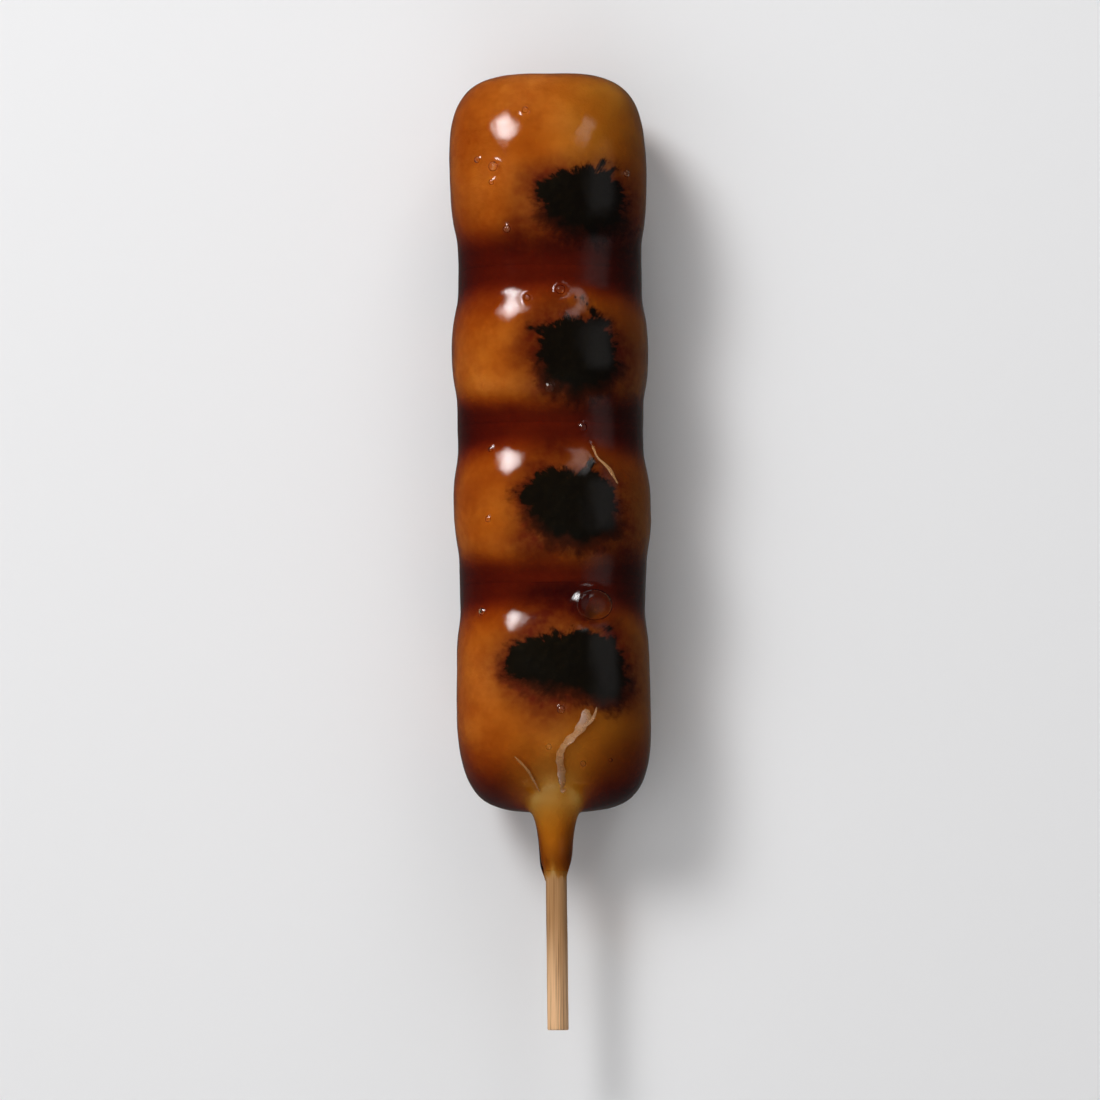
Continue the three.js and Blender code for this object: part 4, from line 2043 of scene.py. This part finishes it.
@dataclass(frozen=True)
class RidgeHighlightThread:
    """A pale thread that lies in the sauce, just under its skin: a painted highlight along a raised
    string.

    Attributes:
        form: The skewer's form.
        ridge: The ridge of sauce over it.
        slimness: Its width over the ridge's.
        flatness: Its thickness over its width.
        unevenness: How much its width varies.
        grain: Length over which it varies.
        blunt: How bluntly it ends, 2 being round.
        least: Its width at its ends, over that in the middle.
        step: Distance between rings, in millimetres.
        passes: How often its corners are smoothed.
        sides: Points in each ring.
    """

    form: SkewerForm
    ridge: SauceRidge
    slimness: float = 0.5
    flatness: float = 0.1
    unevenness: float = 0.6
    grain: float = 1.5 * MM
    blunt: float = 4.0
    least: float = 0.05
    step: float = 0.25
    passes: int = 8
    sides: int = 18

    def build(self, material: bpy.types.Material) -> None:
        """Makes the thread and mounts it.

        Args:
            material: Its finish.
        """
        corners = np.array(self.ridge.path)
        walked = np.concatenate([[0.0], np.cumsum(np.hypot(*np.diff(corners, axis=0).T))])
        steps = np.linspace(0.0, walked[-1], round(walked[-1] / self.step))
        x, y = (np.interp(steps, walked, corners[:, i]) for i in range(2))
        half = np.interp(steps, walked, self.slimness * np.array(self.ridge.widths))
        for values in (x, y, half):
            smooth_along(values, self.passes)
        ends = superellipse(np.abs(2 * steps / walked[-1] - 1), self.blunt)
        half = half * ends.clip(self.least)
        centres, outs = (np.array(way) for way in zip(*map(self.skin_point, x, y)))
        side = np.cross(np.gradient(centres, axis=0), outs)
        side = (side / np.linalg.norm(side, axis=1, keepdims=True))[:, None]
        angle = ring_angles(self.sides)[..., None]
        middle, half = centres[:, None], half[:, None, None] * MM
        spots = middle + half * np.cos(angle) * side
        uneven = fractal(spots, self.grain, Seed.THREADS, 2)[..., None]
        wide = half * (1.0 + self.unevenness * uneven)
        rings = middle + wide * np.cos(angle) * side
        rings += self.flatness * wide * np.sin(angle) * outs[:, None]
        piece = make_piece(self.ridge.thread, *capped(rings, centres[[0, -1]]))
        mount_piece(piece, material, Slot.RICE, self.ridge.node)

    def skin_point(self, x: float, y: float) -> tuple[np.ndarray, np.ndarray]:
        """A place near the skin.

        Args:
            x: Place across, in millimetres.
            y: Place along, in millimetres.

        Returns:
            The place, and the way out from the stick there.
        """
        form, here = self.form, np.array(y * MM)
        angle = np.array(form.angle_above(x * MM, y * MM))
        radius = form.upper_radius(here, angle) + self.ridge.thread_rise * MM
        return form.points(here, angle, radius), outwards(angle)


@dataclass
class BambooStick:
    """The round bamboo stick, cut square at the handle and pointed inside the first dumpling.

    Attributes:
        form: The skewer's form.
        sides: Points in each ring.
        step: Distance between rings.
        sliver: Distance that still counts as touching the cut end.
        point_length: Length of the hidden point.
        point: Radii of the point, each with how far along it lies.
        chamfer: Size of the worn edge at the cut end.
        worn: Share of that edge at which it bends.
        face: Rings of the cut end, over its radius.
        fibre: Depth of the fibres.
        fibre_length: Length over which they change.
        fibre_width: Their width, over the stick's radius.
        splinters: Height of the cut end's roughness, in millimetres.
        splinter_width: Its width.
    """

    form: SkewerForm
    sides: int = 56
    step: float = 0.6 * MM
    sliver: float = 0.01 * MM
    point_length: float = 8.0 * MM
    point: tuple[Point, ...] = ((0.35 * MM, 0.0), (0.9 * MM, 0.45))
    chamfer: float = 0.2 * MM
    worn: float = 0.3
    face: tuple[float, ...] = (0.75, 0.5, 0.25)
    fibre: float = 0.035 * MM
    fibre_length: float = 30.0 * MM
    fibre_width: float = 0.22
    splinters: float = 0.05
    splinter_width: float = 0.5 * MM

    def profile(self) -> np.ndarray:
        """The stick's outline from its point to its cut end.

        Returns:
            The radius and the y of each ring.
        """
        tip, end, r = self.form.stick_tip, self.form.stick_end, self.form.stick_radius
        y = np.linspace(tip - self.point_length, end + self.chamfer, round((tip - end) / self.step))
        bend = self.worn * self.chamfer
        return np.concatenate(
            [
                [(radius, tip - share * self.point_length) for radius, share in self.point],
                np.stack([np.full(len(y), r), y], axis=1),
                [(r - bend, end + bend), (r - self.chamfer, end)],
                [(share * (r - self.chamfer), end) for share in self.face],
            ]
        )

    def build(self, material: bpy.types.Material) -> None:
        """Makes the stick and mounts it.

        Args:
            material: Its finish.
        """
        form, angle = self.form, ring_angles(self.sides)
        profile = self.profile()
        radius, along = profile[:, :1], profile[:, 1:]
        ways = np.cos(angle), along / self.fibre_length, np.sin(angle)
        turned = np.stack(np.broadcast_arrays(*ways), axis=-1)
        fibres = fractal(turned, self.fibre_width, Seed.FIBRES, 2) * self.fibre
        on_side = radius > 0.99 * form.stick_radius
        radius = radius + np.where(on_side, fibres - 0.5 * self.fibre, 0.0)
        rings = form.points(np.broadcast_to(along, radius.shape), angle, radius)
        rough = fractal(rings, self.splinter_width, Seed.SPLINTERS, 2) * self.splinters * MM
        on_face = along < form.stick_end + self.sliver
        rings[..., 1] += np.where(on_face, np.maximum(rough, 0.0), 0.0)
        ends = form.on_axis(form.stick_tip, form.stick_end)
        piece = make_piece("bamboo_stick", *capped(rings, ends))
        mount_piece(piece, material, Slot.BAMBOO, "stick")


# ---- studio


def aim(thing: bpy.types.Object, target: Vector, away: Vector, distance: float) -> None:
    """Adds a lamp or a camera to the scene, facing a target.

    Args:
        thing: The lamp or the camera.
        target: What it faces.
        away: The way from the target to it.
        distance: How far away it stands.
    """
    thing.location = target + away * distance
    thing.rotation_mode = "QUATERNION"
    thing.rotation_quaternion = away.to_track_quat("Z", "Y")
    bpy.context.scene.collection.objects.link(thing)


@dataclass(frozen=True)
class Softbox:
    """A rectangular studio light that fades out towards its edges.

    Attributes:
        name: Its name.
        direction: Where it stands, seen from the skewer.
        distance: How far away it stands.
        size: Its width and height.
        power: Its power, in watts, if it did not fade.
        fade: Share of its width over which each edge fades.
        shows: True if wet surfaces mirror it.
    """

    name: str
    direction: Triple
    distance: float
    size: Point
    power: float
    fade: float = 0.1
    shows: bool = True

    def build(self, target: Vector) -> None:
        """Places the light.

        Args:
            target: What it faces.
        """
        data = bpy.data.lights.new(self.name, "AREA")
        data.shape = "RECTANGLE"
        data.size, data.size_y = self.size
        data.energy = self.power
        self.fade_edges(data)
        lamp = bpy.data.objects.new(self.name, data)
        lamp.visible_camera = False
        lamp.visible_transmission = False
        lamp.visible_glossy = self.shows
        aim(lamp, target, Vector(self.direction).normalized(), self.distance)

    def fade_edges(self, data: bpy.types.AreaLight) -> None:
        """Gives the light its soft edges.

        Args:
            data: The light.
        """
        data.use_nodes = True
        sketch = NodeSketch(data.node_tree)
        spot = sketch.split(sketch.add("ShaderNodeNewGeometry").outputs["Parametric"])
        strength: object = 1.0
        for axis in ("X", "Y"):
            for edge, inwards in ((0.0, self.fade), (1.0, 1.0 - self.fade)):
                strength = sketch.math("MULTIPLY", strength, sketch.ease(spot[axis], edge, inwards))
        emission = sketch.add("ShaderNodeEmission", {"Strength": strength})
        sketch.add("ShaderNodeOutputLight", {"Surface": emission.outputs[0]})


@dataclass
class Studio:
    """A pale floor, soft lights and the camera.

    Attributes:
        elevation: The camera's height above the horizon, in degrees.
        distance: The camera's distance from the middle of the skewer.
        fill: Share of the picture's height that the skewer takes.
        sensor: Width of the camera's sensor, in millimetres.
        clip: The nearest and the furthest that it sees.
        floor_size: Half the floor's width.
        floor_gap: How far the floor lies below the skewer.
        floor_colour: Its colour.
        floor_roughness: Its roughness.
        floor_index: Its index of refraction.
        sky: Brightness of the even light from all round.
        sky_colour: Its colour.
        lights: The softboxes.
    """

    elevation: float = 86.0
    distance: float = 0.8
    fill: float = 0.87
    sensor: float = 36.0
    clip: Range = (0.01, 20.0)
    floor_size: float = 4.0
    floor_gap: float = 0.15 * MM
    floor_colour: Colour = (0.88, 0.88, 0.89, 1.0)
    floor_roughness: float = 0.7
    floor_index: float = 1.2
    sky: float = 0.06
    sky_colour: Colour = (1.0, 0.98, 0.96, 1.0)
    lights: tuple[Softbox, ...] = (
        Softbox("key_softbox", (-0.46, 0.56, 0.69), 1.0, (0.55, 0.48), 18.5, 0.42),
        Softbox("overhead_fill", (-0.50, -0.25, 0.83), 1.3, (1.4, 1.6), 6.4, 0.10, False),
        Softbox("tip_fill", (0.15, 0.88, 0.46), 1.2, (0.9, 0.6), 4.5, 0.10, False),
        Softbox("handle_fill", (0.0, -0.86, 0.50), 1.2, (0.9, 0.6), 3.0, 0.10, False),
        Softbox("veil_panel", (0.68, 0.10, 0.74), 1.2, (0.9, 1.3), 0.9, 0.4),
        Softbox("patch_panel", (0.31, 0.56, 0.77), 1.0, (0.28, 0.60), 0.85, 0.35),
    )

    def build(self) -> None:
        """Makes the floor, the lights and the camera."""
        low, high = CAD_BOX
        target = (low + high) / 2
        self.make_floor()
        for light in self.lights:
            light.build(target)
        self.make_sky()
        self.make_camera(target, high.y - low.y)

    def make_floor(self) -> None:
        """A plain pale floor just below the skewer."""
        s, z = self.floor_size, -self.floor_gap
        points = np.array([(-s, -s, z), (s, -s, z), (s, s, z), (-s, s, z)])
        floor = make_piece("studio_floor", points, [(0, 1, 2, 3)])
        material, sketch = new_material("pale_floor")
        finish = {"Base Color": self.floor_colour, "Roughness": self.floor_roughness}
        sketch.surface(finish | {"IOR": self.floor_index})
        floor.data.materials.append(material)
        floor.visible_glossy = False

    def make_sky(self) -> None:
        """Even pale light from all round."""
        world = bpy.data.worlds.new("studio")
        world.use_nodes = True
        sketch = NodeSketch(world.node_tree)
        inputs = {"Color": self.sky_colour, "Strength": self.sky}
        background = sketch.add("ShaderNodeBackground", inputs)
        sketch.add("ShaderNodeOutputWorld", {"Surface": background.outputs[0]})
        bpy.context.scene.world = world

    def make_camera(self, target: Vector, length: float) -> None:
        """Looks down on the skewer from its handle side.

        Args:
            target: What it looks at.
            length: The skewer's length.
        """
        data = bpy.data.cameras.new("camera")
        data.sensor_width = self.sensor
        data.lens = self.sensor * self.distance * self.fill / length
        data.clip_start, data.clip_end = self.clip
        camera = bpy.data.objects.new("camera", data)
        up = math.radians(self.elevation)
        aim(camera, target, Vector((0.0, -math.cos(up), math.sin(up))), self.distance)
        bpy.context.scene.camera = camera
        bpy.context.scene.view_settings.view_transform = "Standard"


# ---- assembly


def main() -> None:
    """Builds the skewer, piece by piece, and the studio round it."""
    logging.basicConfig(level=logging.INFO, format="%(name)s: %(message)s")
    form = SkewerForm()
    rice = RiceFinish().build()
    for index, mark in enumerate(GRILL_MARKS):
        RiceDumpling(form, index, mark).build(rice)
    SauceGlaze(form).build(SauceFinish().build())
    # Pale threads: painted highlights along the sauce's raised strings.
    ridge_highlight = RidgeHighlightFinish().build()
    for ridge in SAUCE_RIDGES:
        RidgeHighlightThread(form, ridge).build(ridge_highlight)
    BambooStick(form).build(BambooFinish().build())
    Studio().build()


if __name__ == "__main__":
    main()
